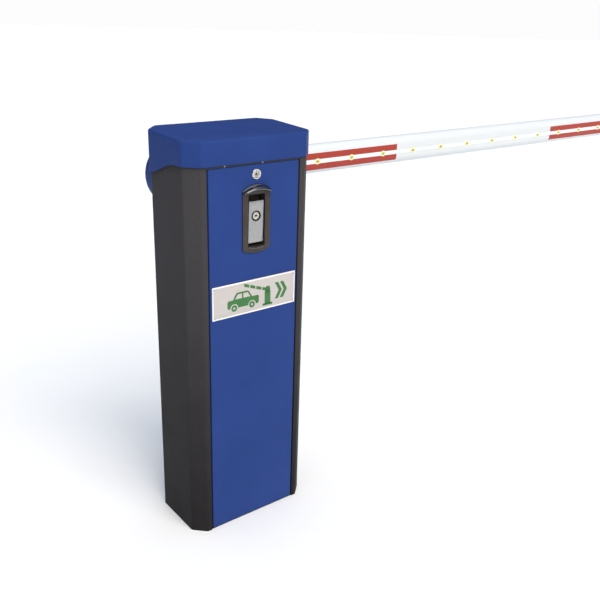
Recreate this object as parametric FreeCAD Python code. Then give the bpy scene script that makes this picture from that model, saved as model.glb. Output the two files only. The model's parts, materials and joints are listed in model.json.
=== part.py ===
import FreeCAD, Part
import math
import os

# Parking barrier gate.  Millimetres.  Origin at the centre of the cabinet's base, +Z up, the boom
# lies along +X behind the cabinet, and the door faces -Y.

V = FreeCAD.Vector
X = V(1, 0, 0)
Y = V(0, 1, 0)
Z = V(0, 0, 1)

# ---- driving dimensions --------------------------------------------------------------------------

# cabinet column, an octagon with small corners
CAB_HALF_X = 180.0
CAB_HALF_Y = 107.5
CORNER = 32.0               # leg of each 45 degree corner
SKIN = 2.0
COLUMN_TOP = 1005.0
OPENING_HALF = 134.5        # half width of the door opening
RETURN_DEPTH = 19.5         # how far the opening's edges fold inward
SILL_THICK = 2.5
SILL_BACK = 2.5             # the sill's front edge behind the cabinet's front face
LIP_HALF = 30.0             # half width of the rail's hanging lip behind the quarter-turn lock
BASE_THICK = 8.0
BASE_FRONT = 23.5           # from the cabinet's front face back to the base plate's front edge

# anchoring and cable entry
ANCHOR_DX = 260.0
ANCHOR_DY = 130.0
ANCHOR_R = 7.0
ENTRY_R = 35.0
ENTRY_X = 60.0
STUD_R = 4.0                # earth stud
STUD_HIGH = 28.0
STUD_X = -110.0
STUD_Y = 20.0
STUD_WASHER_R = 9.0
STUD_WASHER_THICK = 2.0

# lid
LID_RISE = 54.0             # from the column's top to the roof's highest, back edge
LID_FALL = 9.0              # how much lower the roof is at the front
LID_PLAY = 1.5              # between the column and the lid's inner face
LID_WALL = 2.5
LID_ROOF = 3.0
LID_FRONT_DROP = 14.0       # lower edge at the front, below the column's top
LID_BACK_DROP = 51.0        # lower edge at the back
LID_WAVE_BACK = 80.0        # y where the wave in the side skirt begins
LID_WAVE_FRONT = -50.0      # y where it ends
LID_BEVEL = 8.0
LID_RIB_HALF = 60.0         # half length of the ribs that stand on the column's top edge
LID_RIB_THICK = 2.0
LID_FULL_SKIRT = 10.0       # skirt left under the wave before it is trimmed

# door
DOOR_GAP = 4.0              # at each side of the door
DOOR_SHEET = 2.0
DOOR_FOLD = 15.0            # depth of the folded edges
DOOR_BOTTOM = SILL_THICK + 1.0
RAIL_HIGH = 19.0
RAIL_GAP = 1.0              # between the door and the rail above it
HINGE_IN_X = 6.5            # pivot axis from the door's side edge
HINGE_IN_Y = 6.0            # pivot axis from the door's front face
HINGE_PIN_R = 2.5
HINGE_PIN_IN = 10.0         # how far each pivot pin reaches into the door
DOOR_EDGE_R = 2.5
PIN_PLAY = 0.06

# handle, its centre line is a little right of the door's
HANDLE_X = 2.5
DISH_HALF = 40.5
DISH_LOW = 776.0
DISH_HIGH = 924.0
DISH_ARCH_LOW = 9.0
DISH_ARCH_HIGH = 12.0
DISH_PROUD = 4.0
HOOD_PROUD = 18.0
HOOD_THICK = 4.0
HOOD_SKIRT = 6.0            # how far the hood's cheeks reach below the window's top
WINDOW_HALF = 24.5
WINDOW_LOW = 783.0
WINDOW_HIGH = 914.0
POCKET_WALL = 2.5
POCKET_DEPTH = 26.0
PADDLE_HALF = 21.5
PADDLE_LOW = 793.0
PADDLE_HIGH = 897.0
PADDLE_THICK = 3.0
PADDLE_RECESS = 2.0
PADDLE_CORNER = 3.0
PADDLE_PIN_R = 2.0
PADDLE_BARREL_WALL = 2.0
PADDLE_AXIS_UP = 3.5        # hinge axis above the paddle's foot
PADDLE_AXIS_IN = 2.5        # hinge axis behind the paddle's back face
KEY_Z = 860.0
KEY_HOUSING_R = 13.0
KEY_COLLAR = 2.0            # how much wider the housing's face ring is than its body
KEY_PLUG_R = 9.0
KEY_LENGTH = 20.0
KEY_PROUD = 1.0             # housing's face ring in front of the paddle
KEY_FACE = 1.5              # plug's face in front of the paddle
KEY_SHORT = 3.0             # housing's back end short of the lock's length
KEY_PLAY = 0.3              # between the housing's back end and the tongue
KEY_SLOT_HALF = 4.0
KEY_SLOT_WIDE = 1.6
KEY_SLOT_DEEP = 8.0
TONGUE_REACH = 20.0
TONGUE_THICK = 2.0
TONGUE_TIP_R = 5.0
CASE_MARGIN = 2.0
CASE_DEPTH = 28.5
CASE_WALL = 1.5
CASE_OVER = 6.0             # how far the case reaches above and below the dish
CASE_CORNER = 5.0

# latch rods beside the handle pocket
ROD_X = -31.5
ROD_R = 4.0
ROD_IN_Y = 8.5              # rod axis behind the door's front face
ROD_SHY = 1.0               # rod tips stand this far short of the rail and the sill
ROD_GUIDE_HALF = 8.0
ROD_TRAVEL = 12.0
ROD_SPARE = 6.0             # left between the rods when both are drawn in
ROD_START = 10.0            # upper rod's lower end below the key
ROD_HOLE_PLAY = 1.0         # round a rod tip in the rail and the sill
ROD_DOOR_PLAY = 0.5         # round a rod in the door's edges and the latch case
ROD_GUIDE_PLAY = 0.4
ROD_TIP_CHAMFER = 0.8
ROD_GUIDE_HIGH = 10.0
ROD_GUIDE_LOWEST = 60.0
ROD_GUIDE_MIDDLE = (400.0, 700.0)
ROD_GUIDE_BACK = 7.0
ROD_GUIDE_TOP_GAP = 40.0    # highest guide's lower face below the door's top edge

# quarter-turn lock in the top of the door
TOP_LOCK_X = 3.0
TOP_LOCK_DROP = 23.0        # its centre below the door's top edge
TOP_LOCK_HEAD_R = 13.5
TOP_LOCK_R = 10.0
TOP_PLUG_R = 7.5
TOP_LOCK_PROUD = 2.0
TOP_LOCK_LONG = 19.0        # body behind the door's front face
TOP_NUT_ACROSS = 24.0
TOP_NUT_THICK = 4.0
TOP_WELL_WALL = 1.2
TOP_WELL_DEEP = 5.0
TOP_KEY_R = 4.8
TOP_KEY_SHY = 0.5           # the triangle's face behind the head's face
TOP_CAM_GAP = 0.5           # between the rail's folded edge and the cam
TOP_CAM_THICK = 3.0
TOP_CAM_REACH = 22.0
TOP_CAM_HALF = 8.5
LIP_CLEAR = 2.0             # between the resting cam and the rail's hanging lip

# sign plate
SIGN_HALF_X = 125.5
SIGN_LOW = 611.0
SIGN_HIGH = 698.0
SIGN_THICK = 1.5
SIGN_SCREW_IN = 6.0
SIGN_SCREW_R = 2.2
SIGN_SCREW_HEAD = 0.8
SIGN_CORNER = 1.5

# boom shaft, hub and boom
SHAFT_X = -55.0
SHAFT_DROP = 83.0           # axis below the column's top
SHAFT_R = 17.5
SHAFT_PLAY = 0.05
SHAFT_HOLE_R = 30.0
HUB_GAP = 9.5               # from the cabinet's back to the hub flange
HUB_FLANGE = 8.0
HUB_R = 86.0
HUB_SKIN = 2.5
HUB_CLEAR = 1.5             # between the clamp plate and the drum
BOOM_HIGH = 84.0
BOOM_DEEP = 54.0
BOOM_ROUND = 25.0
BOOM_WALL = 1.8
BOOM_INNER_END = 60.0       # how far the boom runs past the shaft axis
BOOM_TIP = 3112.0
END_CAP = 8.0
END_CAP_ROUND = 3.0
BOOM_PLAY = 1.0             # round the boom in the drum's mouth
CLAMP_PLATE = 4.0
CLAMP_MARGIN_X = 14.0
CLAMP_MARGIN_Z = 12.0
HUB_BOLT_R = 5.0
HUB_BOLT_DX = 70.0
HUB_BOLT_DZ = 36.0
LAMP_DROP = 4.5             # lamp line below the boom's centre line
CHANNEL_HIGH = 12.0
CHANNEL_DEEP = 3.0
LAMP_FIRST = 380.0
LAMP_PITCH = 130.5
LAMP_R = 3.6
LAMP_PROUD = 1.6
TAPE_FIRST = 300.0
TAPE_LENGTH = 400.0
TAPE_PITCH = 1200.0
TAPE_THICK = 0.4
TAPE_EDGE = 6.5             # from the lamp line to each tape
TAPE_HIGH = 18.0

# drive inside the cabinet
PLATE_THICK = 6.0
PLATE_LEFT = -142.0
PLATE_RIGHT = 60.0
PLATE_DROP = 452.0          # lower edge below the shaft
PLATE_TOP_GAP = 10.0        # upper edge below the column's top
PLATE_CORNER = 8.0
BRIDGE_FRONT = 33.5         # from the cabinet's front face to the bearing bridge
BRIDGE_HALF_Z = 52.0
BRIDGE_EAR = 40.0           # depth of the ears that meet the column's sides
BRIDGE_WINDOW_LEFT = 30.0
BRIDGE_WINDOW_RIGHT = 140.0
BRIDGE_WINDOW_IN = 18.0
BRIDGE_WINDOW_CORNER = 10.0
BEARING_FLANGE = 110.0
BEARING_FLANGE_THICK = 12.0
BEARING_BOSS_R = 42.0
BEARING_REAR_BOSS = 16.0
BEARING_FRONT_BOSS = 12.0
BEARING_BOLT = 82.0
BEARING_CORNER = 18.0
BOLT_R = 5.4
BOLT_PLAY = 0.1
BOLT_ACROSS = 16.0
BOLT_HEAD = 7.0
CRANK_R = 60.0              # lever and crank have the same radius
CRANK_START = -45.0         # degrees above +X at rest
CRANK_DROP = 330.0          # gearbox output axis below the boom shaft
LEVER_FRONT = -5.0
LEVER_THICK = 14.0
LEVER_HUB_R = 30.0
CRANK_HUB_R = 26.0
ARM_HALF = 15.0
CRANK_EYE_SLIM = 2.0        # the crank's pin boss is this much smaller than its arm is wide
TAIL_ROOT_R = 20.0          # lever's short tail to the spring peg
TAIL_HALF = 11.0
CRANK_PIN_R = 6.0
OPEN_PIVOT_PLAY = 0.5
ROD_END_R = 16.0
ROD_END_WIDE = 16.0
ROD_SIDE_GAP = 3.0
ROD_END_NECK = 10.0         # from the eye's centre to its shank
ROD_END_LONG = 46.0         # from the eye's centre to the shank's end
ROD_END_WALL = 3.0
TIE_R = 6.0
TIE_TUBE_R = 9.0
TIE_THREAD = 40.0           # bare thread at each end of the tube
TIE_NUT_ACROSS = 22.0
TIE_NUT_HIGH = 8.0
GEARBOX_LEFT = 62.0
GEARBOX_RIGHT = 78.0
GEARBOX_LOW = 92.0
GEARBOX_HIGH = 72.0
GEARBOX_GAP = 4.0           # from the crank to the gearbox cover
GEARBOX_COVER = 10.0
GEARBOX_CORNER = 24.0
COVER_SCREW_IN = 12.0
COVER_SCREW_R = 5.0
COVER_SCREW_HEAD = 3.0
OUTPUT_R = 14.0
OUTPUT_PROUD = 4.0          # shaft's end in front of the crank
OUTPUT_DEEP = 38.0          # shaft's reach behind the cover
OUTPUT_BORE_DEEP = 40.0
NECK_SLIM = 18.0            # the neck between gearbox and motor is this much smaller than the motor
NECK_IN = 20.0
NECK_OUT = 10.0
MOTOR_Y = 50.0
MOTOR_DROP = 52.0
MOTOR_R = 44.0
MOTOR_LENGTH = 84.0
FAN_COVER = 28.0
FAN_WALL = 2.0
FAN_HOLES = 6
FAN_HOLE_R = 6.0
FAN_HOLE_RING = 24.0
FIN_COUNT = 9
FIN_PITCH = 9.0
FIN_GROOVE = 4.0
FIN_DEEP = 4.0
FIN_START = 12.0
CAPACITOR_R = 17.0
CAPACITOR_X = 120.0
CAPACITOR_LOW = 8.0         # above the gearbox's output axis
CAPACITOR_HIGH = 78.0
CAPACITOR_IN = 19.0         # its axis in front of the back wall
CLIP_HALF = 20.0
CLIP_THICK = 2.0
KNOB_R = 14.0
KNOB_DEEP = 16.0
KNOB_GAP = 0.3
KNOB_WING_HALF = 3.0
KNOB_WING_OUT = 28.0
KNOB_WING_IN = 10.0
KNOB_DX = -38.0
KNOB_DZ = 40.0
BUFFER_R = 10.0
BUFFER_AT = 45.0
BUFFER_TURN = 34.2          # degrees from the arm's centre line to the buffer
BUFFER_BACK = 2.0           # buffer's face behind the crank's front face

# balance spring round the shaft
SPRING_MEAN_R = 40.0
SPRING_WIRE_R = 4.5
SPRING_PITCH = 9.6
SPRING_TURNS = 4.25
SPRING_GAP = 8.0            # from the lever's back face to the first turn
SPRING_LEG = 30.0          # moving leg
SPRING_FIXED_LEG = 75.0
PEG_R = 5.0
PEG_PLAY = 0.3
ANCHOR_PEG_R = 6.0
ANCHOR_IN = 8.0             # anchor's axis short of the fixed leg's end

# limit cams and switches
CAM_R = 26.0
CAM_THICK = 6.0
CAM_GAP = 3.0
CAM_NOTCH_R = 9.0
CAM_NOTCH_OUT = 4.0
CAM_TURNS = (60, 150)       # degrees above +X of each cam's notch
SWITCH_HALF = 25.0
SWITCH_HIGH = 20.0
SWITCH_LEVER = 4.0
SWITCH_LEVER_IN = 3.0
SWITCH_LEVER_REACH = 10.0
SWITCH_OVER = 36.0          # switches' top above the cams' rim
BRACKET_THICK = 3.0
BRACKET_DEEP = 48.0
BRACKET_HALF = 34.0
BRACKET_FOOT_LEFT = 58.0
BRACKET_FOOT_RIGHT = 90.0
BRACKET_FOOT_LOW = 57.0

# control box on the back wall
BOX_HALF_X = 120.0
BOX_LOW = 190.0
BOX_HIGH = 410.0
BOX_DEEP = 62.0
BOX_WALL = 3.0
BOX_LID = 22.0
BOX_CORNER = 8.0
BOX_CORNER_IN = 6.0
GLAND_COUNT = 5
GLAND_PITCH = 40.0
GLAND_IN = 22.0             # gland axis in front of the back wall
GLAND_HOLE_R = 8.0
GLAND_R = 7.8
GLAND_NUT_R = 11.0
GLAND_BORE_R = 4.0
GLAND_BELOW = 14.0
GLAND_ABOVE = 10.0
GLAND_NUT_HIGH = 8.0
BOARD_LEFT = -60.0
BOARD_RIGHT = 105.0
BOARD_LOW_IN = 30.0
BOARD_HIGH_IN = 15.0
BOARD_THICK = 1.6
BOARD_OFF = 8.0             # standoff from the box's back wall
BOARD_HOLE_IN = 6.0
STANDOFF_R = 2.5
TERMINAL_IN = 10.0
TERMINAL_LOW = 4.0
TERMINAL_HIGH = 12.0
TERMINAL_DEEP = 14.4
RELAY_COUNT = 3
RELAY_FIRST = 20.0
RELAY_PITCH = 26.0
RELAY_WIDE = 19.0
RELAY_HIGH = 16.0
RELAY_TOP = 44.0
RELAY_DEEP = 15.4
CHIP_SIDE = 24.0
CHIP_LEFT = 60.0
CHIP_TOP = 76.0
CHIP_DEEP = 2.4
CORE_LEFT = -108.0
CORE_RIGHT = -70.0
CORE_DEEP = 36.0
CORE_LOW = 60.0
CORE_HIGH = 122.0
COIL_OUT = 4.0              # winding past the core at each side
COIL_BACK = 6.0
COIL_IN = 2.0
COIL_UP = 14.0

# ---- worked-out places ---------------------------------------------------------------------------

FRONT = -CAB_HALF_Y
BACK = CAB_HALF_Y
BACK_IN = BACK - SKIN
DOOR_HALF = OPENING_HALF - DOOR_GAP
DOOR_BACK = FRONT + DOOR_SHEET
FOLD_BACK = FRONT + DOOR_FOLD
HINGE_X = DOOR_HALF - HINGE_IN_X
HINGE_Y = FRONT + HINGE_IN_Y
RAIL_LOW = COLUMN_TOP - RAIL_HIGH
DOOR_TOP = RAIL_LOW - RAIL_GAP
TOP_LOCK_Z = DOOR_TOP - TOP_LOCK_DROP
LID_TOP = COLUMN_TOP + LID_RISE
LID_FRONT_Z = COLUMN_TOP - LID_FRONT_DROP
LID_BACK_Z = COLUMN_TOP - LID_BACK_DROP
SHAFT_Z = COLUMN_TOP - SHAFT_DROP
PLATE_LOW = SHAFT_Z - PLATE_DROP
ROD_Y = FRONT + ROD_IN_Y
POCKET_BACK = FRONT + POCKET_DEPTH
CASE_BACK = FRONT + CASE_DEPTH
PADDLE_FACE = FRONT - DISH_PROUD + PADDLE_RECESS
PADDLE_AXIS_Z = PADDLE_LOW + PADDLE_AXIS_UP
PADDLE_AXIS_Y = PADDLE_FACE + PADDLE_THICK + PADDLE_AXIS_IN
KEY_BACK = PADDLE_FACE + KEY_LENGTH
ROD_BOTTOM_TOP = KEY_Z - ROD_START - 2 * ROD_TRAVEL - ROD_SPARE
HUB_Y = BACK + HUB_GAP
BOOM_FRONT = HUB_Y + HUB_FLANGE
BOOM_BACK = BOOM_FRONT + BOOM_DEEP
BOOM_Y = BOOM_FRONT + BOOM_DEEP / 2
HUB_BACK = BOOM_BACK + CLAMP_PLATE + HUB_SKIN + HUB_CLEAR
LAMP_Z = SHAFT_Z - LAMP_DROP
PLATE_FRONT = BACK_IN - PLATE_THICK
BRIDGE_Y = FRONT + BRIDGE_FRONT
BRIDGE_BACK = BRIDGE_Y + PLATE_THICK
LEVER_BACK = LEVER_FRONT + LEVER_THICK
TIE_Y = LEVER_FRONT - ROD_SIDE_GAP - ROD_END_WIDE / 2
GEAR_Z = SHAFT_Z - CRANK_DROP
GEARBOX_FRONT = LEVER_BACK + GEARBOX_GAP
COVER_BACK = GEARBOX_FRONT + GEARBOX_COVER
MOTOR_Z = GEAR_Z - MOTOR_DROP
SPRING_FRONT = LEVER_BACK + SPRING_GAP
SPRING_BACK = SPRING_FRONT + SPRING_PITCH * SPRING_TURNS


def around(angle, radius, x=SHAFT_X, z=SHAFT_Z):
    """Point at an angle in degrees above +X round an axis along Y, as (x, z)."""
    turn = math.radians(angle)
    return x + radius * math.cos(turn), z + radius * math.sin(turn)


PIN_X, PIN_Z = around(CRANK_START, CRANK_R)
LOW_PIN_Z = PIN_Z - CRANK_DROP

# ---- shape helpers -------------------------------------------------------------------------------


def box(x0, x1, y0, y1, z0, z1):
    return Part.makeBox(x1 - x0, y1 - y0, z1 - z0, V(x0, y0, z0))


def rod_x(radius, x0, x1, y, z):
    return Part.makeCylinder(radius, x1 - x0, V(x0, y, z), X)


def rod_y(radius, y0, y1, x, z):
    return Part.makeCylinder(radius, y1 - y0, V(x, y0, z), Y)


def rod_z(radius, z0, z1, x, y):
    return Part.makeCylinder(radius, z1 - z0, V(x, y, z0), Z)


def hexagon_y(across, y0, y1, x, z):
    """Hexagonal prism along Y."""
    radius = across / math.sqrt(3)
    points = []
    for step in range(7):
        px, pz = around(60 * step, radius, x, z)
        points.append(V(px, y0, pz))
    return Part.Face(Part.makePolygon(points)).extrude(V(0, y1 - y0, 0))


def octagon(half_x, half_y, corner, z0, z1):
    """Upright prism on a rectangle with its four corners cut at 45 degrees."""
    a = half_x - corner
    b = half_y - corner
    points = [V(-a, -half_y, z0), V(a, -half_y, z0), V(half_x, -b, z0), V(half_x, b, z0)]
    points += [V(a, half_y, z0), V(-a, half_y, z0), V(-half_x, b, z0), V(-half_x, -b, z0)]
    points.append(points[0])
    return Part.Face(Part.makePolygon(points)).extrude(V(0, 0, z1 - z0))


def octagon_inside(wall, z0, z1, half_x=CAB_HALF_X, half_y=CAB_HALF_Y, corner=CORNER):
    """The same prism moved inward by a wall, or outward by a negative one."""
    return octagon(half_x - wall, half_y - wall, corner - wall * (2 - math.sqrt(2)), z0, z1)


def plate_y(outline, y0, y1):
    """Prism along Y over a closed list of edges drawn in the plane y = 0."""
    face = Part.Face(Part.Wire(outline))
    face.translate(V(0, y0, 0))
    return face.extrude(V(0, y1 - y0, 0))


def line(a, b):
    return Part.LineSegment(V(a[0], 0, a[1]), V(b[0], 0, b[1])).toShape()


def arc(a, b, c):
    return Part.Arc(V(a[0], 0, a[1]), V(b[0], 0, b[1]), V(c[0], 0, c[1])).toShape()


def arched(half, low, high, arch_low, arch_high, y0, y1):
    """Upright panel round the handle's centre line with a bowed bottom and top edge."""
    left = HANDLE_X - half
    right = HANDLE_X + half
    outline = [line((left, high), (left, low))]
    outline.append(arc((left, low), (HANDLE_X, low - arch_low), (right, low)))
    outline.append(line((right, low), (right, high)))
    outline.append(arc((right, high), (HANDLE_X, high + arch_high), (left, high)))
    return plate_y(outline, y0, y1)


def arm(x0, z0, x1, z1, r0, r1, half, y0, y1):
    """Flat lever with a round boss at each end."""
    length = math.hypot(x1 - x0, z1 - z0)
    bar = Part.makeBox(length, y1 - y0, 2 * half, V(0, y0, -half))
    turn = math.degrees(math.atan2(z1 - z0, x1 - x0))
    bar.rotate(V(0, 0, 0), Y, -turn)
    bar.translate(V(x0, 0, z0))
    return bar.fuse([rod_y(r0, y0, y1, x0, z0), rod_y(r1, y0, y1, x1, z1)]).removeSplitter()


def rounded_edges(shape, radius, direction):
    """Fillet the straight edges that run along one direction."""
    edges = []
    for edge in shape.Edges:
        if len(edge.Vertexes) != 2:
            continue
        run = edge.Vertexes[1].Point - edge.Vertexes[0].Point
        if run.cross(direction).Length < 0.001 * run.Length:
            edges.append(edge)
    return shape.makeFillet(radius, edges)


def boom_section(grow):
    """Outline of the boom's rounded section in the plane x = 0, grown or shrunk."""
    half_y = BOOM_DEEP / 2 + grow
    half_z = BOOM_HIGH / 2 + grow
    block = box(0, 10, BOOM_Y - half_y, BOOM_Y + half_y, SHAFT_Z - half_z, SHAFT_Z + half_z)
    return rounded_edges(block, BOOM_ROUND + grow, X)


def boom_prism(grow, x0, x1):
    for face in boom_section(grow).Faces:
        if face.normalAt(0, 0).dot(X) < -0.999:
            start = face.copy()
    start.translate(V(x0, 0, 0))
    return start.extrude(V(x1 - x0, 0, 0))


def lamp_places():
    count = int((BOOM_TIP - LAMP_FIRST) // LAMP_PITCH) + 1
    return [LAMP_FIRST + LAMP_PITCH * step for step in range(count)]


# ---- cabinet -------------------------------------------------------------------------------------


def cabinet_shell():
    shell = octagon_inside(0, 0, COLUMN_TOP).cut(octagon_inside(SKIN, 0, COLUMN_TOP))
    front = box(-OPENING_HALF, OPENING_HALF, FRONT - 1, FRONT + SKIN + 1, 0, COLUMN_TOP)
    shell = shell.cut(front)
    folds = []
    for side in (-1, 1):
        edges = sorted((side * OPENING_HALF, side * (OPENING_HALF + SKIN)))
        folds.append(box(edges[0], edges[1], FRONT, FRONT + RETURN_DEPTH + SKIN, 0, COLUMN_TOP))
    sill_half = OPENING_HALF + SKIN / 2
    folds.append(box(-sill_half, sill_half, FRONT + SILL_BACK, FRONT + BASE_FRONT, 0, SILL_THICK))
    shell = shell.fuse(folds).removeSplitter()
    for tip in (rod_z(ROD_R + ROD_HOLE_PLAY, 0, SILL_THICK, ROD_X, ROD_Y),
                rod_z(HINGE_PIN_R, 0, SILL_THICK, HINGE_X, HINGE_Y)):
        shell = shell.cut(tip)
    return shell.cut(rod_y(SHAFT_HOLE_R, BACK_IN - 1, BACK + 1, SHAFT_X, SHAFT_Z))


def top_rail():
    rail = box(-OPENING_HALF, OPENING_HALF, FRONT, FRONT + SKIN, RAIL_LOW, COLUMN_TOP)
    deep = FRONT + RETURN_DEPTH
    shelf = box(-OPENING_HALF, OPENING_HALF, FRONT, deep, RAIL_LOW, RAIL_LOW + SKIN)
    lip_low = TOP_LOCK_Z + TOP_CAM_HALF + LIP_CLEAR
    lip = box(TOP_LOCK_X - LIP_HALF, TOP_LOCK_X + LIP_HALF, deep - SKIN, deep, lip_low, RAIL_LOW + SKIN)
    rail = rail.fuse([shelf, lip]).removeSplitter()
    rail = rail.cut(rod_z(ROD_R + ROD_HOLE_PLAY, RAIL_LOW, RAIL_LOW + SKIN, ROD_X, ROD_Y))
    return rail.cut(rod_z(HINGE_PIN_R, RAIL_LOW, RAIL_LOW + SKIN, HINGE_X, HINGE_Y))


def base_plate():
    plate = octagon_inside(SKIN, 0, BASE_THICK)
    plate = plate.cut(box(-CAB_HALF_X, CAB_HALF_X, FRONT - 1, FRONT + BASE_FRONT, 0, BASE_THICK))
    for x in (-ANCHOR_DX / 2, ANCHOR_DX / 2):
        for y in (-ANCHOR_DY / 2, ANCHOR_DY / 2):
            plate = plate.cut(rod_z(ANCHOR_R, 0, BASE_THICK, x, y))
    return plate.cut(rod_z(ENTRY_R, 0, BASE_THICK, ENTRY_X, 0))


def door_pivot_pins():
    upper = rod_z(HINGE_PIN_R, DOOR_TOP - HINGE_PIN_IN, RAIL_LOW + SKIN, HINGE_X, HINGE_Y)
    lower = rod_z(HINGE_PIN_R, 0, DOOR_BOTTOM + HINGE_PIN_IN, HINGE_X, HINGE_Y)
    return Part.makeCompound([upper, lower])


def earth_stud():
    stud = rod_z(STUD_R, BASE_THICK, BASE_THICK + STUD_HIGH, STUD_X, STUD_Y)
    washer = rod_z(STUD_WASHER_R, BASE_THICK, BASE_THICK + STUD_WASHER_THICK, STUD_X, STUD_Y)
    return stud.fuse(washer)


def rear_mounting_plate():
    plate = box(PLATE_LEFT, PLATE_RIGHT, PLATE_FRONT, BACK_IN, PLATE_LOW,
                COLUMN_TOP - PLATE_TOP_GAP)
    plate = rounded_edges(plate, PLATE_CORNER, Y)
    return plate.cut(rod_y(SHAFT_HOLE_R, PLATE_FRONT, BACK_IN, SHAFT_X, SHAFT_Z))


def bearing_bridge():
    half = CAB_HALF_X - SKIN
    low = SHAFT_Z - BRIDGE_HALF_Z
    high = SHAFT_Z + BRIDGE_HALF_Z
    bridge = box(-half, half, BRIDGE_Y, BRIDGE_BACK, low, high)
    for side in (-1, 1):
        edges = sorted((side * half, side * (half - PLATE_THICK)))
        bridge = bridge.fuse(box(edges[0], edges[1], BRIDGE_BACK, BRIDGE_BACK + BRIDGE_EAR, low, high))
    bridge = bridge.removeSplitter()
    window = box(BRIDGE_WINDOW_LEFT, BRIDGE_WINDOW_RIGHT, BRIDGE_Y, BRIDGE_BACK,
                 low + BRIDGE_WINDOW_IN, high - BRIDGE_WINDOW_IN)
    bridge = bridge.cut(rounded_edges(window, BRIDGE_WINDOW_CORNER, Y))
    return bridge.cut(rod_y(SHAFT_HOLE_R, BRIDGE_Y, BRIDGE_BACK, SHAFT_X, SHAFT_Z))


def flange_bearing(face, boss):
    """Square flange against a plate at y = face, with its round boss pointing the way boss does."""
    half = BEARING_FLANGE / 2
    way = 1 if boss > 0 else -1
    ends = sorted((face, face + way * BEARING_FLANGE_THICK))
    flange = box(SHAFT_X - half, SHAFT_X + half, ends[0], ends[1], SHAFT_Z - half, SHAFT_Z + half)
    flange = rounded_edges(flange, BEARING_CORNER, Y)
    whole = sorted((face, face + way * BEARING_FLANGE_THICK + boss))
    body = flange.fuse(rod_y(BEARING_BOSS_R, whole[0], whole[1], SHAFT_X, SHAFT_Z)).removeSplitter()
    for dx in (-BEARING_BOLT / 2, BEARING_BOLT / 2):
        for dz in (-BEARING_BOLT / 2, BEARING_BOLT / 2):
            body = body.cut(rod_y(BOLT_R + BOLT_PLAY, ends[0], ends[1], SHAFT_X + dx, SHAFT_Z + dz))
    return body.cut(rod_y(SHAFT_R + SHAFT_PLAY, whole[0], whole[1], SHAFT_X, SHAFT_Z))


def bearing_bolts():
    """Hexagon bolts of both flange bearings, through flange and plate."""
    bolts = []
    for dx in (-BEARING_BOLT / 2, BEARING_BOLT / 2):
        for dz in (-BEARING_BOLT / 2, BEARING_BOLT / 2):
            x = SHAFT_X + dx
            z = SHAFT_Z + dz
            rear = PLATE_FRONT - BEARING_FLANGE_THICK
            bolt = rod_y(BOLT_R, rear, PLATE_FRONT, x, z)
            head = hexagon_y(BOLT_ACROSS, rear - BOLT_HEAD, rear, x, z)
            bolts.append(bolt.fuse(head).removeSplitter())
            near = BRIDGE_BACK + BEARING_FLANGE_THICK
            bolt = rod_y(BOLT_R, BRIDGE_BACK, near, x, z)
            head = hexagon_y(BOLT_ACROSS, near, near + BOLT_HEAD, x, z)
            bolts.append(bolt.fuse(head).removeSplitter())
    return Part.makeCompound(bolts)


# ---- drive ---------------------------------------------------------------------------------------


def gearbox_outline(y0, y1):
    block = box(SHAFT_X - GEARBOX_LEFT, SHAFT_X + GEARBOX_RIGHT, y0, y1,
                GEAR_Z - GEARBOX_LOW, GEAR_Z + GEARBOX_HIGH)
    return rounded_edges(block, GEARBOX_CORNER, Y)


def gearbox_casing():
    casing = gearbox_outline(COVER_BACK, PLATE_FRONT)
    neck = SHAFT_X + GEARBOX_RIGHT
    collar = rod_x(MOTOR_R - NECK_SLIM, neck - NECK_IN, neck + NECK_OUT, MOTOR_Y, MOTOR_Z)
    casing = casing.fuse(collar).removeSplitter()
    bore = rod_y(OUTPUT_R + SHAFT_PLAY, COVER_BACK, COVER_BACK + OUTPUT_BORE_DEEP, SHAFT_X, GEAR_Z)
    return casing.cut(bore)


def gearbox_cover():
    cover = gearbox_outline(GEARBOX_FRONT, COVER_BACK)
    return cover.cut(rod_y(OUTPUT_R + SHAFT_PLAY, GEARBOX_FRONT, COVER_BACK, SHAFT_X, GEAR_Z))


def gearbox_cover_screws():
    screws = []
    left = SHAFT_X - GEARBOX_LEFT + COVER_SCREW_IN
    right = SHAFT_X + GEARBOX_RIGHT - COVER_SCREW_IN
    low = GEAR_Z - GEARBOX_LOW + COVER_SCREW_IN
    high = GEAR_Z + GEARBOX_HIGH - COVER_SCREW_IN
    for x in (left, right):
        for z in (low, high):
            screws.append(rod_y(COVER_SCREW_R, GEARBOX_FRONT - COVER_SCREW_HEAD, GEARBOX_FRONT, x, z))
    return Part.makeCompound(screws)


def motor():
    start = SHAFT_X + GEARBOX_RIGHT + NECK_OUT
    body = rod_x(MOTOR_R, start, start + MOTOR_LENGTH, MOTOR_Y, MOTOR_Z)
    for step in range(FIN_COUNT):
        x = start + FIN_START + FIN_PITCH * step
        groove = rod_x(MOTOR_R + 1, x, x + FIN_GROOVE, MOTOR_Y, MOTOR_Z)
        groove = groove.cut(rod_x(MOTOR_R - FIN_DEEP, x, x + FIN_GROOVE, MOTOR_Y, MOTOR_Z))
        body = body.cut(groove)
    return body


def motor_fan_cover():
    start = SHAFT_X + GEARBOX_RIGHT + NECK_OUT + MOTOR_LENGTH
    outer = MOTOR_R + FAN_WALL / 2
    cover = rod_x(outer, start, start + FAN_COVER, MOTOR_Y, MOTOR_Z)
    cover = cover.cut(rod_x(outer - FAN_WALL, start, start + FAN_COVER - FAN_WALL, MOTOR_Y, MOTOR_Z))
    for step in range(FAN_HOLES):
        dy, dz = around(360 * step / FAN_HOLES, FAN_HOLE_RING, 0, 0)
        cover = cover.cut(rod_x(FAN_HOLE_R, start, start + FAN_COVER, MOTOR_Y + dy, MOTOR_Z + dz))
    return cover


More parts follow.
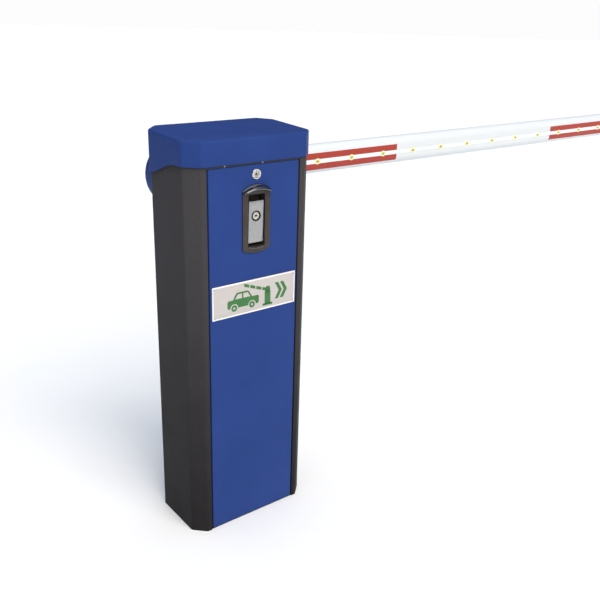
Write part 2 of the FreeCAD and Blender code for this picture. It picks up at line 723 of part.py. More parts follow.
def run_capacitor():
    """Upright can held to the back wall by its clip."""
    low = GEAR_Z + CAPACITOR_LOW
    high = GEAR_Z + CAPACITOR_HIGH
    can = rod_z(CAPACITOR_R, low, high, CAPACITOR_X, BACK_IN - CAPACITOR_IN)
    middle = GEAR_Z + 2 * CLIP_HALF
    clip = box(CAPACITOR_X - CLIP_HALF, CAPACITOR_X + CLIP_HALF, BACK_IN - CLIP_THICK, BACK_IN,
               middle - CLIP_HALF, middle + CLIP_HALF)
    return can.fuse(clip).removeSplitter()


def release_knob():
    x = SHAFT_X + KNOB_DX
    z = GEAR_Z + KNOB_DZ
    knob = rod_y(KNOB_R, GEARBOX_FRONT - KNOB_DEEP, GEARBOX_FRONT - KNOB_GAP, x, z)
    wing = box(x - KNOB_WING_HALF, x + KNOB_WING_HALF, GEARBOX_FRONT - KNOB_WING_OUT,
               GEARBOX_FRONT - KNOB_WING_IN, z - KNOB_R + 1, z + KNOB_R - 1)
    return knob.fuse(wing).removeSplitter()


def stop_buffers():
    buffers = []
    for turn in (CRANK_START - BUFFER_TURN, CRANK_START + 90 + BUFFER_TURN):
        x, z = around(turn, BUFFER_AT, SHAFT_X, GEAR_Z)
        buffers.append(rod_y(BUFFER_R, LEVER_FRONT + BUFFER_BACK, GEARBOX_FRONT, x, z))
    return Part.makeCompound(buffers)


def crank():
    x, z = PIN_X, LOW_PIN_Z
    half = ARM_HALF - CRANK_EYE_SLIM
    body = arm(SHAFT_X, GEAR_Z, x, z, CRANK_HUB_R, ARM_HALF, half, LEVER_FRONT, LEVER_BACK)
    body = body.fuse(rod_y(OUTPUT_R, LEVER_FRONT - OUTPUT_PROUD, COVER_BACK + OUTPUT_DEEP, SHAFT_X, GEAR_Z))
    pin_end = LEVER_FRONT - 2 * ROD_SIDE_GAP - ROD_END_WIDE
    return body.fuse(rod_y(CRANK_PIN_R, pin_end, LEVER_BACK, x, z)).removeSplitter()


def drive_lever():
    body = arm(SHAFT_X, SHAFT_Z, PIN_X, PIN_Z, LEVER_HUB_R, ARM_HALF, ARM_HALF, LEVER_FRONT, LEVER_BACK)
    peg_x, peg_z = spring_peg()
    tail = arm(SHAFT_X, SHAFT_Z, peg_x, peg_z, TAIL_ROOT_R, TAIL_HALF, TAIL_HALF, LEVER_FRONT, LEVER_BACK)
    pin_end = LEVER_FRONT - 2 * ROD_SIDE_GAP - ROD_END_WIDE
    pins = [tail, rod_y(CRANK_PIN_R, pin_end, LEVER_BACK, PIN_X, PIN_Z)]
    pins.append(rod_y(PEG_R, LEVER_FRONT, SPRING_FRONT + 1.6 * SPRING_WIRE_R, peg_x, peg_z))
    body = body.fuse(pins).removeSplitter()
    return body.cut(rod_y(SHAFT_R, LEVER_FRONT, LEVER_BACK, SHAFT_X, SHAFT_Z))


def rod_end(z, bore, way):
    """Eye of the tie rod at height z, with its shank pointing up or down."""
    y0 = TIE_Y - ROD_END_WIDE / 2
    y1 = TIE_Y + ROD_END_WIDE / 2
    eye = rod_y(ROD_END_R, y0, y1, PIN_X, z)
    ends = sorted((z + way * ROD_END_NECK, z + way * ROD_END_LONG))
    eye = eye.fuse(rod_z(TIE_R + ROD_END_WALL, ends[0], ends[1], PIN_X, TIE_Y)).removeSplitter()
    return eye.cut(rod_y(bore, y0, y1, PIN_X, z))


def rod_ends():
    upper = rod_end(PIN_Z, CRANK_PIN_R + SHAFT_PLAY, -1)
    lower = rod_end(LOW_PIN_Z, CRANK_PIN_R + OPEN_PIVOT_PLAY, 1)
    return Part.makeCompound([upper, lower])


def tie_rod():
    low = LOW_PIN_Z + ROD_END_LONG
    high = PIN_Z - ROD_END_LONG
    rod = rod_z(TIE_R, low, high, PIN_X, TIE_Y)
    return rod.fuse(rod_z(TIE_TUBE_R, low + TIE_THREAD, high - TIE_THREAD, PIN_X, TIE_Y)).removeSplitter()


def tie_lock_nuts():
    nuts = []
    for z in (LOW_PIN_Z + ROD_END_LONG, PIN_Z - ROD_END_LONG - TIE_NUT_HIGH):
        nut = hexagon_y(TIE_NUT_ACROSS, 0, TIE_NUT_HIGH, 0, 0)
        nut.rotate(V(0, 0, 0), X, 90)
        nut.translate(V(PIN_X, TIE_Y, z))
        nuts.append(nut.cut(rod_z(TIE_R, z - 1, z + TIE_NUT_HIGH + 1, PIN_X, TIE_Y)))
    return Part.makeCompound(nuts)


# ---- balance spring ------------------------------------------------------------------------------


def spring_peg():
    """Centre of the lever's peg, on the side that the spring's moving leg pushes."""
    end_x, end_z = around(180, SPRING_MEAN_R)
    return end_x + SPRING_WIRE_R + PEG_R + PEG_PLAY, end_z - SPRING_LEG + PEG_R


def balance_spring():
    helix = Part.makeHelix(SPRING_PITCH, SPRING_PITCH * SPRING_TURNS, SPRING_MEAN_R)
    helix.rotate(V(0, 0, 0), Z, 180)
    helix.rotate(V(0, 0, 0), X, -90)
    helix.translate(V(SHAFT_X, SPRING_FRONT + SPRING_WIRE_R, SHAFT_Z))
    edge = helix.Edges[0]
    start = edge.valueAt(edge.FirstParameter)
    heading = edge.tangentAt(edge.FirstParameter)
    circle = Part.Wire(Part.makeCircle(SPRING_WIRE_R, start, heading))
    coil = Part.Wire(helix.Edges).makePipeShell([circle], True, True)
    last = edge.valueAt(edge.LastParameter)
    leaving = edge.tangentAt(edge.LastParameter)
    leg = Part.makeCylinder(SPRING_WIRE_R, SPRING_LEG, start, heading * -1)
    tail = Part.makeCylinder(SPRING_WIRE_R, SPRING_FIXED_LEG, last, leaving)
    return coil.fuse([leg, tail]).removeSplitter()


def spring_anchor():
    """Peg on the rear plate under the end of the spring's fixed leg, which leaves at the top."""
    x = SHAFT_X + SPRING_FIXED_LEG - ANCHOR_IN
    z = SHAFT_Z + SPRING_MEAN_R - SPRING_WIRE_R - ANCHOR_PEG_R - PEG_PLAY
    return rod_y(ANCHOR_PEG_R, SPRING_BACK - 2, PLATE_FRONT, x, z)


# ---- limit switches ------------------------------------------------------------------------------


def limit_cams():
    first = BRIDGE_BACK + BEARING_FLANGE_THICK + BEARING_FRONT_BOSS + CAM_GAP
    cams = []
    for step, turn in enumerate(CAM_TURNS):
        y0 = first + step * (CAM_THICK + CAM_GAP)
        disc = rod_y(CAM_R, y0, y0 + CAM_THICK, SHAFT_X, SHAFT_Z)
        notch_x, notch_z = around(turn, CAM_R + CAM_NOTCH_OUT)
        disc = disc.cut(rod_y(CAM_NOTCH_R, y0, y0 + CAM_THICK, notch_x, notch_z))
        cams.append(disc.cut(rod_y(SHAFT_R, y0, y0 + CAM_THICK, SHAFT_X, SHAFT_Z)))
    return Part.makeCompound(cams)


def switch_bracket():
    low = SHAFT_Z + CAM_R + SWITCH_OVER
    high = low + BRACKET_THICK
    left = SHAFT_X - BRACKET_HALF
    right = SHAFT_X + BRACKET_FOOT_RIGHT
    back = BRIDGE_BACK + BRACKET_THICK
    shelf = box(left, SHAFT_X + BRACKET_HALF, BRIDGE_BACK, BRIDGE_BACK + BRACKET_DEEP, low, high)
    upright = box(SHAFT_X + BRACKET_FOOT_LEFT, right, BRIDGE_BACK, back, high - BRACKET_FOOT_LOW, high)
    foot = box(left, right, BRIDGE_BACK, back, high - 3 * BRACKET_THICK, high)
    return shelf.fuse([upright, foot]).removeSplitter()


def limit_switches():
    first = BRIDGE_BACK + BEARING_FLANGE_THICK + BEARING_FRONT_BOSS + CAM_GAP
    high = SHAFT_Z + CAM_R + SWITCH_OVER
    low = high - SWITCH_HIGH
    switches = []
    for step in range(len(CAM_TURNS)):
        y0 = first + step * (CAM_THICK + CAM_GAP)
        body = box(SHAFT_X - SWITCH_HALF, SHAFT_X + SWITCH_HALF, y0 - 1, y0 + CAM_THICK + 1, low, high)
        lever = box(SHAFT_X - SWITCH_HALF + SWITCH_LEVER_IN, SHAFT_X + SWITCH_LEVER_REACH,
                    y0 + 1, y0 + CAM_THICK - 1, low - SWITCH_LEVER, low)
        switches.append(body.fuse(lever).removeSplitter())
    return Part.makeCompound(switches)


# ---- controls ------------------------------------------------------------------------------------


def gland_places():
    """Places along X of the cable glands, evenly spaced about the box's middle."""
    return [GLAND_PITCH * (step - (GLAND_COUNT - 1) / 2) for step in range(GLAND_COUNT)]


def control_box_base():
    low_y = BACK_IN - BOX_DEEP + BOX_LID
    body = rounded_edges(box(-BOX_HALF_X, BOX_HALF_X, low_y, BACK_IN, BOX_LOW, BOX_HIGH), BOX_CORNER, Y)
    hollow = box(-BOX_HALF_X + BOX_WALL, BOX_HALF_X - BOX_WALL, low_y, BACK_IN - BOX_WALL,
                 BOX_LOW + BOX_WALL, BOX_HIGH - BOX_WALL)
    body = body.cut(rounded_edges(hollow, BOX_CORNER_IN, Y))
    for x in gland_places():
        body = body.cut(rod_z(GLAND_HOLE_R, BOX_LOW - 1, BOX_LOW + BOX_WALL + 1, x, BACK_IN - GLAND_IN))
    return body


def control_box_cover():
    low_y = BACK_IN - BOX_DEEP
    seam = low_y + BOX_LID
    body = rounded_edges(box(-BOX_HALF_X, BOX_HALF_X, low_y, seam, BOX_LOW, BOX_HIGH), BOX_CORNER, Y)
    hollow = box(-BOX_HALF_X + BOX_WALL, BOX_HALF_X - BOX_WALL, low_y + BOX_WALL, seam,
                 BOX_LOW + BOX_WALL, BOX_HIGH - BOX_WALL)
    return body.cut(rounded_edges(hollow, BOX_CORNER_IN, Y))


def circuit_board():
    """Board on four standoffs with its terminal block, relays and processor."""
    back = BACK_IN - BOX_WALL - BOARD_OFF
    face = back - BOARD_THICK
    low = BOX_LOW + BOARD_LOW_IN
    high = BOX_HIGH - BOARD_HIGH_IN
    board = box(BOARD_LEFT, BOARD_RIGHT, face, back, low, high)
    parts = [box(BOARD_LEFT + TERMINAL_IN, BOARD_RIGHT - TERMINAL_IN, face - TERMINAL_DEEP, face,
                 low + TERMINAL_LOW, low + TERMINAL_LOW + TERMINAL_HIGH)]
    relay_high = BOX_HIGH - RELAY_TOP
    for step in range(RELAY_COUNT):
        x = BOARD_LEFT + RELAY_FIRST + RELAY_PITCH * step
        parts.append(box(x, x + RELAY_WIDE, face - RELAY_DEEP, face, relay_high - RELAY_HIGH, relay_high))
    chip_high = BOX_HIGH - CHIP_TOP
    parts.append(box(CHIP_LEFT, CHIP_LEFT + CHIP_SIDE, face - CHIP_DEEP, face,
                     chip_high - CHIP_SIDE, chip_high))
    for x in (BOARD_LEFT + BOARD_HOLE_IN, BOARD_RIGHT - BOARD_HOLE_IN):
        for z in (low + BOARD_HOLE_IN, high - BOARD_HOLE_IN):
            parts.append(rod_y(STANDOFF_R, back, BACK_IN - BOX_WALL, x, z))
    return board.fuse(parts).removeSplitter()


def transformer():
    back = BACK_IN - BOX_WALL
    low = BOX_LOW + CORE_LOW
    high = BOX_LOW + CORE_HIGH
    core = box(CORE_LEFT, CORE_RIGHT, back - CORE_DEEP, back, low, high)
    coil = box(CORE_LEFT - COIL_OUT, CORE_RIGHT + COIL_OUT, back - CORE_DEEP + COIL_IN, back - COIL_BACK,
               low + COIL_UP, high - COIL_UP)
    return core.fuse(coil).removeSplitter()


def cable_glands():
    glands = []
    y = BACK_IN - GLAND_IN
    low = BOX_LOW - GLAND_BELOW
    high = BOX_LOW + GLAND_ABOVE
    for x in gland_places():
        body = rod_z(GLAND_R, low, high, x, y)
        body = body.fuse(rod_z(GLAND_NUT_R, BOX_LOW - GLAND_NUT_HIGH, BOX_LOW, x, y)).removeSplitter()
        glands.append(body.cut(rod_z(GLAND_BORE_R, low, high, x, y)))
    return Part.makeCompound(glands)


# ---- boom ----------------------------------------------------------------------------------------


def main_shaft():
    return rod_y(SHAFT_R, BRIDGE_Y, BOOM_FRONT, SHAFT_X, SHAFT_Z)


def hub_flange():
    disc = rod_y(HUB_R - HUB_SKIN, HUB_Y, BOOM_FRONT, SHAFT_X, SHAFT_Z)
    disc = disc.cut(rod_y(SHAFT_R, HUB_Y, BOOM_FRONT, SHAFT_X, SHAFT_Z))
    for x, z in hub_bolt_places():
        disc = disc.cut(hub_bolt(x, z))
    return disc


def hub_bolt_places():
    places = []
    for dx in (-HUB_BOLT_DX / 2, HUB_BOLT_DX / 2):
        for dz in (-HUB_BOLT_DZ / 2, HUB_BOLT_DZ / 2):
            places.append((SHAFT_X + dx, SHAFT_Z + dz))
    return places


def hub_bolt(x, z):
    """Countersunk bolt through the flange and the boom into the clamp plate."""
    shank = rod_y(HUB_BOLT_R, HUB_Y, BOOM_BACK + CLAMP_PLATE, x, z)
    head = Part.makeCone(2 * HUB_BOLT_R, HUB_BOLT_R, HUB_BOLT_R, V(x, HUB_Y, z), Y)
    return shank.fuse(head).removeSplitter()


def hub_bolts():
    return Part.makeCompound([hub_bolt(x, z) for x, z in hub_bolt_places()])


def clamp_plate():
    half_x = HUB_BOLT_DX / 2 + CLAMP_MARGIN_X
    half_z = HUB_BOLT_DZ / 2 + CLAMP_MARGIN_Z
    plate = box(SHAFT_X - half_x, SHAFT_X + half_x, BOOM_BACK, BOOM_BACK + CLAMP_PLATE,
                SHAFT_Z - half_z, SHAFT_Z + half_z)
    for x, z in hub_bolt_places():
        plate = plate.cut(rod_y(HUB_BOLT_R, BOOM_BACK, BOOM_BACK + CLAMP_PLATE, x, z))
    return plate


def hub_cover():
    drum = rod_y(HUB_R, HUB_Y, HUB_BACK, SHAFT_X, SHAFT_Z)
    edges = [edge for edge in drum.Edges if abs(edge.BoundBox.YMin - HUB_BACK) < 0.01]
    drum = drum.makeFillet(HUB_SKIN, edges)
    drum = drum.cut(rod_y(HUB_R - HUB_SKIN, HUB_Y, HUB_BACK - HUB_SKIN, SHAFT_X, SHAFT_Z))
    return drum.cut(boom_prism(BOOM_PLAY, SHAFT_X, SHAFT_X + 2 * HUB_R))


def boom_profile():
    start = SHAFT_X - BOOM_INNER_END
    body = boom_prism(0, start, BOOM_TIP)
    inside = boom_prism(-BOOM_WALL, start, BOOM_TIP)
    web_y = BOOM_FRONT + CHANNEL_DEEP + BOOM_WALL
    channel_low = LAMP_Z - CHANNEL_HIGH / 2
    channel_high = LAMP_Z + CHANNEL_HIGH / 2
    pad = box(start, BOOM_TIP, BOOM_FRONT, web_y, channel_low - BOOM_WALL, channel_high + BOOM_WALL)
    web = box(start, BOOM_TIP, BOOM_FRONT, BOOM_BACK, SHAFT_Z - BOOM_WALL / 2, SHAFT_Z + BOOM_WALL / 2)
    inside = inside.cut(pad.fuse(web))
    body = body.cut(inside)
    channel = box(TAPE_FIRST, BOOM_TIP, BOOM_FRONT, BOOM_FRONT + CHANNEL_DEEP, channel_low, channel_high)
    body = body.cut(channel)
    for x, z in hub_bolt_places():
        body = body.cut(rod_y(HUB_BOLT_R, BOOM_FRONT, BOOM_BACK, x, z))
    return body


def lamp_strip():
    half = CHANNEL_HIGH / 2
    return box(TAPE_FIRST, BOOM_TIP, BOOM_FRONT, BOOM_FRONT + CHANNEL_DEEP, LAMP_Z - half, LAMP_Z + half)


def lamps():
    lenses = [hexagon_y(2 * LAMP_R, BOOM_FRONT - LAMP_PROUD, BOOM_FRONT, x, LAMP_Z) for x in lamp_places()]
    return Part.makeCompound(lenses)


def red_tapes():
    bands = []
    band = TAPE_FIRST
    while band + TAPE_LENGTH < BOOM_TIP:
        skin = boom_prism(TAPE_THICK, band, band + TAPE_LENGTH)
        skin = skin.cut(boom_prism(0, band, band + TAPE_LENGTH))
        for low in (LAMP_Z + TAPE_EDGE, LAMP_Z - TAPE_EDGE - TAPE_HIGH):
            strip = box(band, band + TAPE_LENGTH, BOOM_FRONT - 5, BOOM_Y, low, low + TAPE_HIGH)
            bands.append(skin.common(strip))
        band += TAPE_PITCH
    return Part.makeCompound(bands)


def boom_end_cap():
    cap = boom_prism(0, BOOM_TIP, BOOM_TIP + END_CAP)
    edges = [edge for edge in cap.Edges if abs(edge.BoundBox.XMin - BOOM_TIP - END_CAP) < 0.01]
    return cap.makeFillet(END_CAP_ROUND, edges)


# ---- door ----------------------------------------------------------------------------------------


def door_panel():
    panel = box(-DOOR_HALF, DOOR_HALF, FRONT, FOLD_BACK, DOOR_BOTTOM, DOOR_TOP)
    panel = rounded_edges(panel, DOOR_EDGE_R, Z)
    hollow = box(-DOOR_HALF + DOOR_SHEET, DOOR_HALF - DOOR_SHEET, DOOR_BACK, FOLD_BACK,
                 DOOR_BOTTOM + DOOR_SHEET, DOOR_TOP - DOOR_SHEET)
    panel = panel.cut(hollow)
    half = WINDOW_HALF + POCKET_WALL
    hole = box(HANDLE_X - half, HANDLE_X + half, FRONT, DOOR_BACK,
               WINDOW_LOW - POCKET_WALL, WINDOW_HIGH + POCKET_WALL)
    panel = panel.cut(hole).cut(rod_y(TOP_LOCK_R, FRONT, DOOR_BACK, TOP_LOCK_X, TOP_LOCK_Z))
    for low in (DOOR_BOTTOM, DOOR_TOP - DOOR_SHEET):
        panel = panel.cut(rod_z(HINGE_PIN_R + PIN_PLAY, low, low + DOOR_SHEET, HINGE_X, HINGE_Y))
        panel = panel.cut(rod_z(ROD_R + ROD_DOOR_PLAY, low, low + DOOR_SHEET, ROD_X, ROD_Y))
    return panel


def sign_plate():
    plate = box(-SIGN_HALF_X, SIGN_HALF_X, FRONT - SIGN_THICK, FRONT, SIGN_LOW, SIGN_HIGH)
    return rounded_edges(plate, SIGN_CORNER, Y)


def sign_screws():
    heads = []
    for x in (-SIGN_HALF_X + SIGN_SCREW_IN, SIGN_HALF_X - SIGN_SCREW_IN):
        for z in (SIGN_LOW + SIGN_SCREW_IN, SIGN_HIGH - SIGN_SCREW_IN):
            heads.append(rod_y(SIGN_SCREW_R, FRONT - SIGN_THICK - SIGN_SCREW_HEAD, FRONT - SIGN_THICK, x, z))
    return Part.makeCompound(heads)


def handle_dish():
    front = FRONT - DISH_PROUD
    rim = arched(DISH_HALF, DISH_LOW, DISH_HIGH, DISH_ARCH_LOW, DISH_ARCH_HIGH, front, FRONT)
    hood = arched(DISH_HALF, DISH_LOW, DISH_HIGH, DISH_ARCH_LOW, DISH_ARCH_HIGH,
                  FRONT - HOOD_PROUD, front)
    inner = arched(DISH_HALF - HOOD_THICK, DISH_LOW, DISH_HIGH - HOOD_THICK, DISH_ARCH_LOW,
                   DISH_ARCH_HIGH, FRONT - HOOD_PROUD, front)
    keep = box(HANDLE_X - DISH_HALF, HANDLE_X + DISH_HALF, FRONT - HOOD_PROUD, front,
               WINDOW_HIGH - HOOD_SKIRT, DISH_HIGH + DISH_ARCH_HIGH)
    hood = hood.cut(inner).common(keep)
    half = WINDOW_HALF + POCKET_WALL
    pocket = box(HANDLE_X - half, HANDLE_X + half, FRONT, POCKET_BACK,
                 WINDOW_LOW - POCKET_WALL, WINDOW_HIGH + POCKET_WALL)
    body = rim.fuse([hood, pocket]).removeSplitter()
    space = box(HANDLE_X - WINDOW_HALF, HANDLE_X + WINDOW_HALF, front - 1, POCKET_BACK - POCKET_WALL,
                WINDOW_LOW, WINDOW_HIGH)
    body = body.cut(space)
    return body.cut(rod_x(PADDLE_PIN_R, HANDLE_X - half, HANDLE_X + half, PADDLE_AXIS_Y, PADDLE_AXIS_Z))


def paddle_pin():
    half = WINDOW_HALF + POCKET_WALL
    return rod_x(PADDLE_PIN_R, HANDLE_X - half, HANDLE_X + half, PADDLE_AXIS_Y, PADDLE_AXIS_Z)


def handle_paddle():
    plate = box(HANDLE_X - PADDLE_HALF, HANDLE_X + PADDLE_HALF, PADDLE_FACE,
                PADDLE_FACE + PADDLE_THICK, PADDLE_LOW, PADDLE_HIGH)
    plate = rounded_edges(plate, PADDLE_CORNER, Y)
    barrel = rod_x(PADDLE_PIN_R + PADDLE_BARREL_WALL, HANDLE_X - PADDLE_HALF, HANDLE_X + PADDLE_HALF,
                   PADDLE_AXIS_Y, PADDLE_AXIS_Z)
    body = plate.fuse(barrel).removeSplitter()
    body = body.cut(rod_x(PADDLE_PIN_R + PIN_PLAY, HANDLE_X - PADDLE_HALF, HANDLE_X + PADDLE_HALF,
                          PADDLE_AXIS_Y, PADDLE_AXIS_Z))
    hole = KEY_HOUSING_R - KEY_COLLAR
    return body.cut(rod_y(hole, PADDLE_FACE, PADDLE_FACE + PADDLE_THICK, HANDLE_X, KEY_Z))


def key_housing():
    face = PADDLE_FACE - KEY_PROUD
    ring = rod_y(KEY_HOUSING_R, face, PADDLE_FACE, HANDLE_X, KEY_Z)
    body = rod_y(KEY_HOUSING_R - KEY_COLLAR, PADDLE_FACE, KEY_BACK - KEY_SHORT, HANDLE_X, KEY_Z)
    body = ring.fuse(body).removeSplitter()
    return body.cut(rod_y(KEY_PLUG_R + PIN_PLAY, face, KEY_BACK, HANDLE_X, KEY_Z))


def key_plug():
    face = PADDLE_FACE - KEY_FACE
    plug = rod_y(KEY_PLUG_R, face, KEY_BACK - KEY_SHORT + KEY_PLAY, HANDLE_X, KEY_Z)
    half = KEY_SLOT_WIDE / 2
    slot = box(HANDLE_X - half, HANDLE_X + half, face - 1, PADDLE_FACE + KEY_SLOT_DEEP,
               KEY_Z - KEY_SLOT_HALF, KEY_Z + KEY_SLOT_HALF)
    return plug.cut(slot)


def lock_tongue():
    start = KEY_BACK - KEY_SHORT + KEY_PLAY
    tip = HANDLE_X + TONGUE_REACH - TONGUE_TIP_R
    return arm(HANDLE_X, KEY_Z, tip, KEY_Z, KEY_PLUG_R - 1, TONGUE_TIP_R, TONGUE_TIP_R,
               start, start + TONGUE_THICK)


def latch_case():
    half = DISH_HALF + CASE_MARGIN
    low = DISH_LOW - CASE_OVER
    high = DISH_HIGH + CASE_OVER
    case = box(HANDLE_X - half, HANDLE_X + half, DOOR_BACK, CASE_BACK, low, high)
    case = rounded_edges(case, CASE_CORNER, Y)
    inner = box(HANDLE_X - half + CASE_WALL, HANDLE_X + half - CASE_WALL, DOOR_BACK,
                CASE_BACK - CASE_WALL, low + CASE_WALL, high - CASE_WALL)
    case = case.cut(inner)
    return case.cut(rod_z(ROD_R + ROD_DOOR_PLAY, low - 1, high + 1, ROD_X, ROD_Y))


def upper_latch_rod():
    top = RAIL_LOW - ROD_SHY
    rod = rod_z(ROD_R, KEY_Z - ROD_START, top, ROD_X, ROD_Y)
    edges = [edge for edge in rod.Edges if abs(edge.BoundBox.ZMin - top) < 0.01]
    return rod.makeChamfer(ROD_TIP_CHAMFER, edges)


def lower_latch_rod():
    bottom = SILL_THICK + ROD_SHY
    rod = rod_z(ROD_R, bottom, ROD_BOTTOM_TOP, ROD_X, ROD_Y)
    edges = [edge for edge in rod.Edges if abs(edge.BoundBox.ZMax - bottom) < 0.01]
    return rod.makeChamfer(ROD_TIP_CHAMFER, edges)


def rod_guides():
    guides = []
    for low in (ROD_GUIDE_LOWEST, *ROD_GUIDE_MIDDLE, DOOR_TOP - ROD_GUIDE_TOP_GAP):
        high = low + ROD_GUIDE_HIGH
        block = box(ROD_X - ROD_GUIDE_HALF, ROD_X + ROD_GUIDE_HALF, DOOR_BACK, ROD_Y + ROD_GUIDE_BACK, low, high)
        guides.append(block.cut(rod_z(ROD_R + ROD_GUIDE_PLAY, low, high, ROD_X, ROD_Y)))
    return Part.makeCompound(guides)


def top_lock_body():
    face = FRONT - TOP_LOCK_PROUD
    back = FRONT + TOP_LOCK_LONG
    head = rod_y(TOP_LOCK_HEAD_R, face, FRONT, TOP_LOCK_X, TOP_LOCK_Z)
    edges = [edge for edge in head.Edges if abs(edge.BoundBox.YMax - face) < 0.01]
    head = head.makeChamfer(0.7, edges)
    body = rod_y(TOP_LOCK_R, FRONT, back, TOP_LOCK_X, TOP_LOCK_Z)
    nut = hexagon_y(TOP_NUT_ACROSS, DOOR_BACK, DOOR_BACK + TOP_NUT_THICK, TOP_LOCK_X, TOP_LOCK_Z)
    whole = head.fuse([body, nut]).removeSplitter()
    return whole.cut(rod_y(TOP_PLUG_R + PIN_PLAY, face - 1, back + 1, TOP_LOCK_X, TOP_LOCK_Z))


def top_lock_plug():
    """Turning plug with a raised triangle for the key in a round well."""
    face = FRONT - TOP_LOCK_PROUD
    floor = FRONT + TOP_WELL_DEEP
    plug = rod_y(TOP_PLUG_R, face, FRONT + RETURN_DEPTH + TOP_CAM_GAP, TOP_LOCK_X, TOP_LOCK_Z)
    well = rod_y(TOP_PLUG_R - TOP_WELL_WALL, face, floor, TOP_LOCK_X, TOP_LOCK_Z)
    points = []
    for step in range(4):
        px, pz = around(90 + 120 * step, TOP_KEY_R, TOP_LOCK_X, TOP_LOCK_Z)
        points.append(V(px, face + TOP_KEY_SHY, pz))
    key = Part.Face(Part.makePolygon(points)).extrude(V(0, floor + 1 - face, 0))
    return plug.cut(well.cut(key))


def top_lock_cam():
    y0 = FRONT + RETURN_DEPTH + TOP_CAM_GAP
    half = TOP_CAM_HALF
    tip = TOP_LOCK_X + TOP_CAM_REACH - half
    return arm(TOP_LOCK_X, TOP_LOCK_Z, tip, TOP_LOCK_Z, half, half, half, y0, y0 + TOP_CAM_THICK)


# ---- lid -----------------------------------------------------------------------------------------


def below_the_wave(low):
    """Everything under the lid's lower edge, which dips towards the back in a smooth wave."""
    run = (LID_WAVE_BACK - LID_WAVE_FRONT) / 3
    curve = Part.BezierCurve()
    curve.setPoles([V(0, LID_WAVE_BACK, LID_BACK_Z), V(0, LID_WAVE_BACK - run, LID_BACK_Z),
                    V(0, LID_WAVE_FRONT + run, LID_FRONT_Z), V(0, LID_WAVE_FRONT, LID_FRONT_Z)])
    front = FRONT - 20
    back = BACK + 20
    corners = [V(0, LID_WAVE_FRONT, LID_FRONT_Z), V(0, front, LID_FRONT_Z), V(0, front, low)]
    corners += [V(0, back, low), V(0, back, LID_BACK_Z), V(0, LID_WAVE_BACK, LID_BACK_Z)]
    edges = [curve.toShape()] + Part.makePolygon(corners).Edges
    wire = Part.Wire(Part.__sortEdges__(edges))
    face = Part.Face(wire)
    face.translate(V(-CAB_HALF_X - 20, 0, 0))
    return face.extrude(V(2 * CAB_HALF_X + 40, 0, 0))


def under_the_roof(prism, depth):
    """Trim a prism by the roof's plane, which falls to the front, moved down by a depth."""
    half_x = CAB_HALF_X + LID_PLAY + LID_WALL
    half_y = CAB_HALF_Y + LID_PLAY + LID_WALL
    high = LID_TOP - depth
    above = LID_TOP + LID_RISE
    points = [V(-half_x, -half_y, high - LID_FALL), V(-half_x, half_y, high)]
    points += [V(-half_x, half_y, above), V(-half_x, -half_y, above), points[0]]
    return prism.cut(Part.Face(Part.makePolygon(points)).extrude(V(2 * half_x, 0, 0)))


def lid_prism(wall, low, depth, bevel):
    """Column's outline moved out by a wall, under the roof's plane, with its upper edges cut."""
    prism = under_the_roof(octagon_inside(-wall, low, LID_TOP), depth)
    upper = LID_TOP - LID_FALL - depth - 0.01
    edges = [edge for edge in prism.Edges if edge.BoundBox.ZMin > upper]
    return prism.makeChamfer(bevel, edges)


def lid():
    low = LID_BACK_Z - LID_FULL_SKIRT
    body = lid_prism(LID_PLAY + LID_WALL, low, 0, LID_BEVEL)
    body = body.cut(lid_prism(LID_PLAY, low, LID_ROOF, LID_BEVEL - 1))
    shelf_top = LID_TOP - LID_FALL - LID_ROOF - LID_BEVEL
    inner = CAB_HALF_X - SKIN - LID_RIB_THICK
    ribs = []
    for side in (-1, 1):
        shelf = sorted((side * inner, side * (CAB_HALF_X + LID_PLAY)))
        ribs.append(box(shelf[0], shelf[1], -LID_RIB_HALF, LID_RIB_HALF, COLUMN_TOP, shelf_top))
        slab = sorted((side * inner, side * (inner + LID_RIB_THICK)))
        web = box(slab[0], slab[1], -LID_RIB_HALF, LID_RIB_HALF, COLUMN_TOP, LID_TOP)
        ribs.append(under_the_roof(web, LID_ROOF / 2))
    body = body.fuse(ribs).removeSplitter()
    return body.cut(below_the_wave(low - 1))


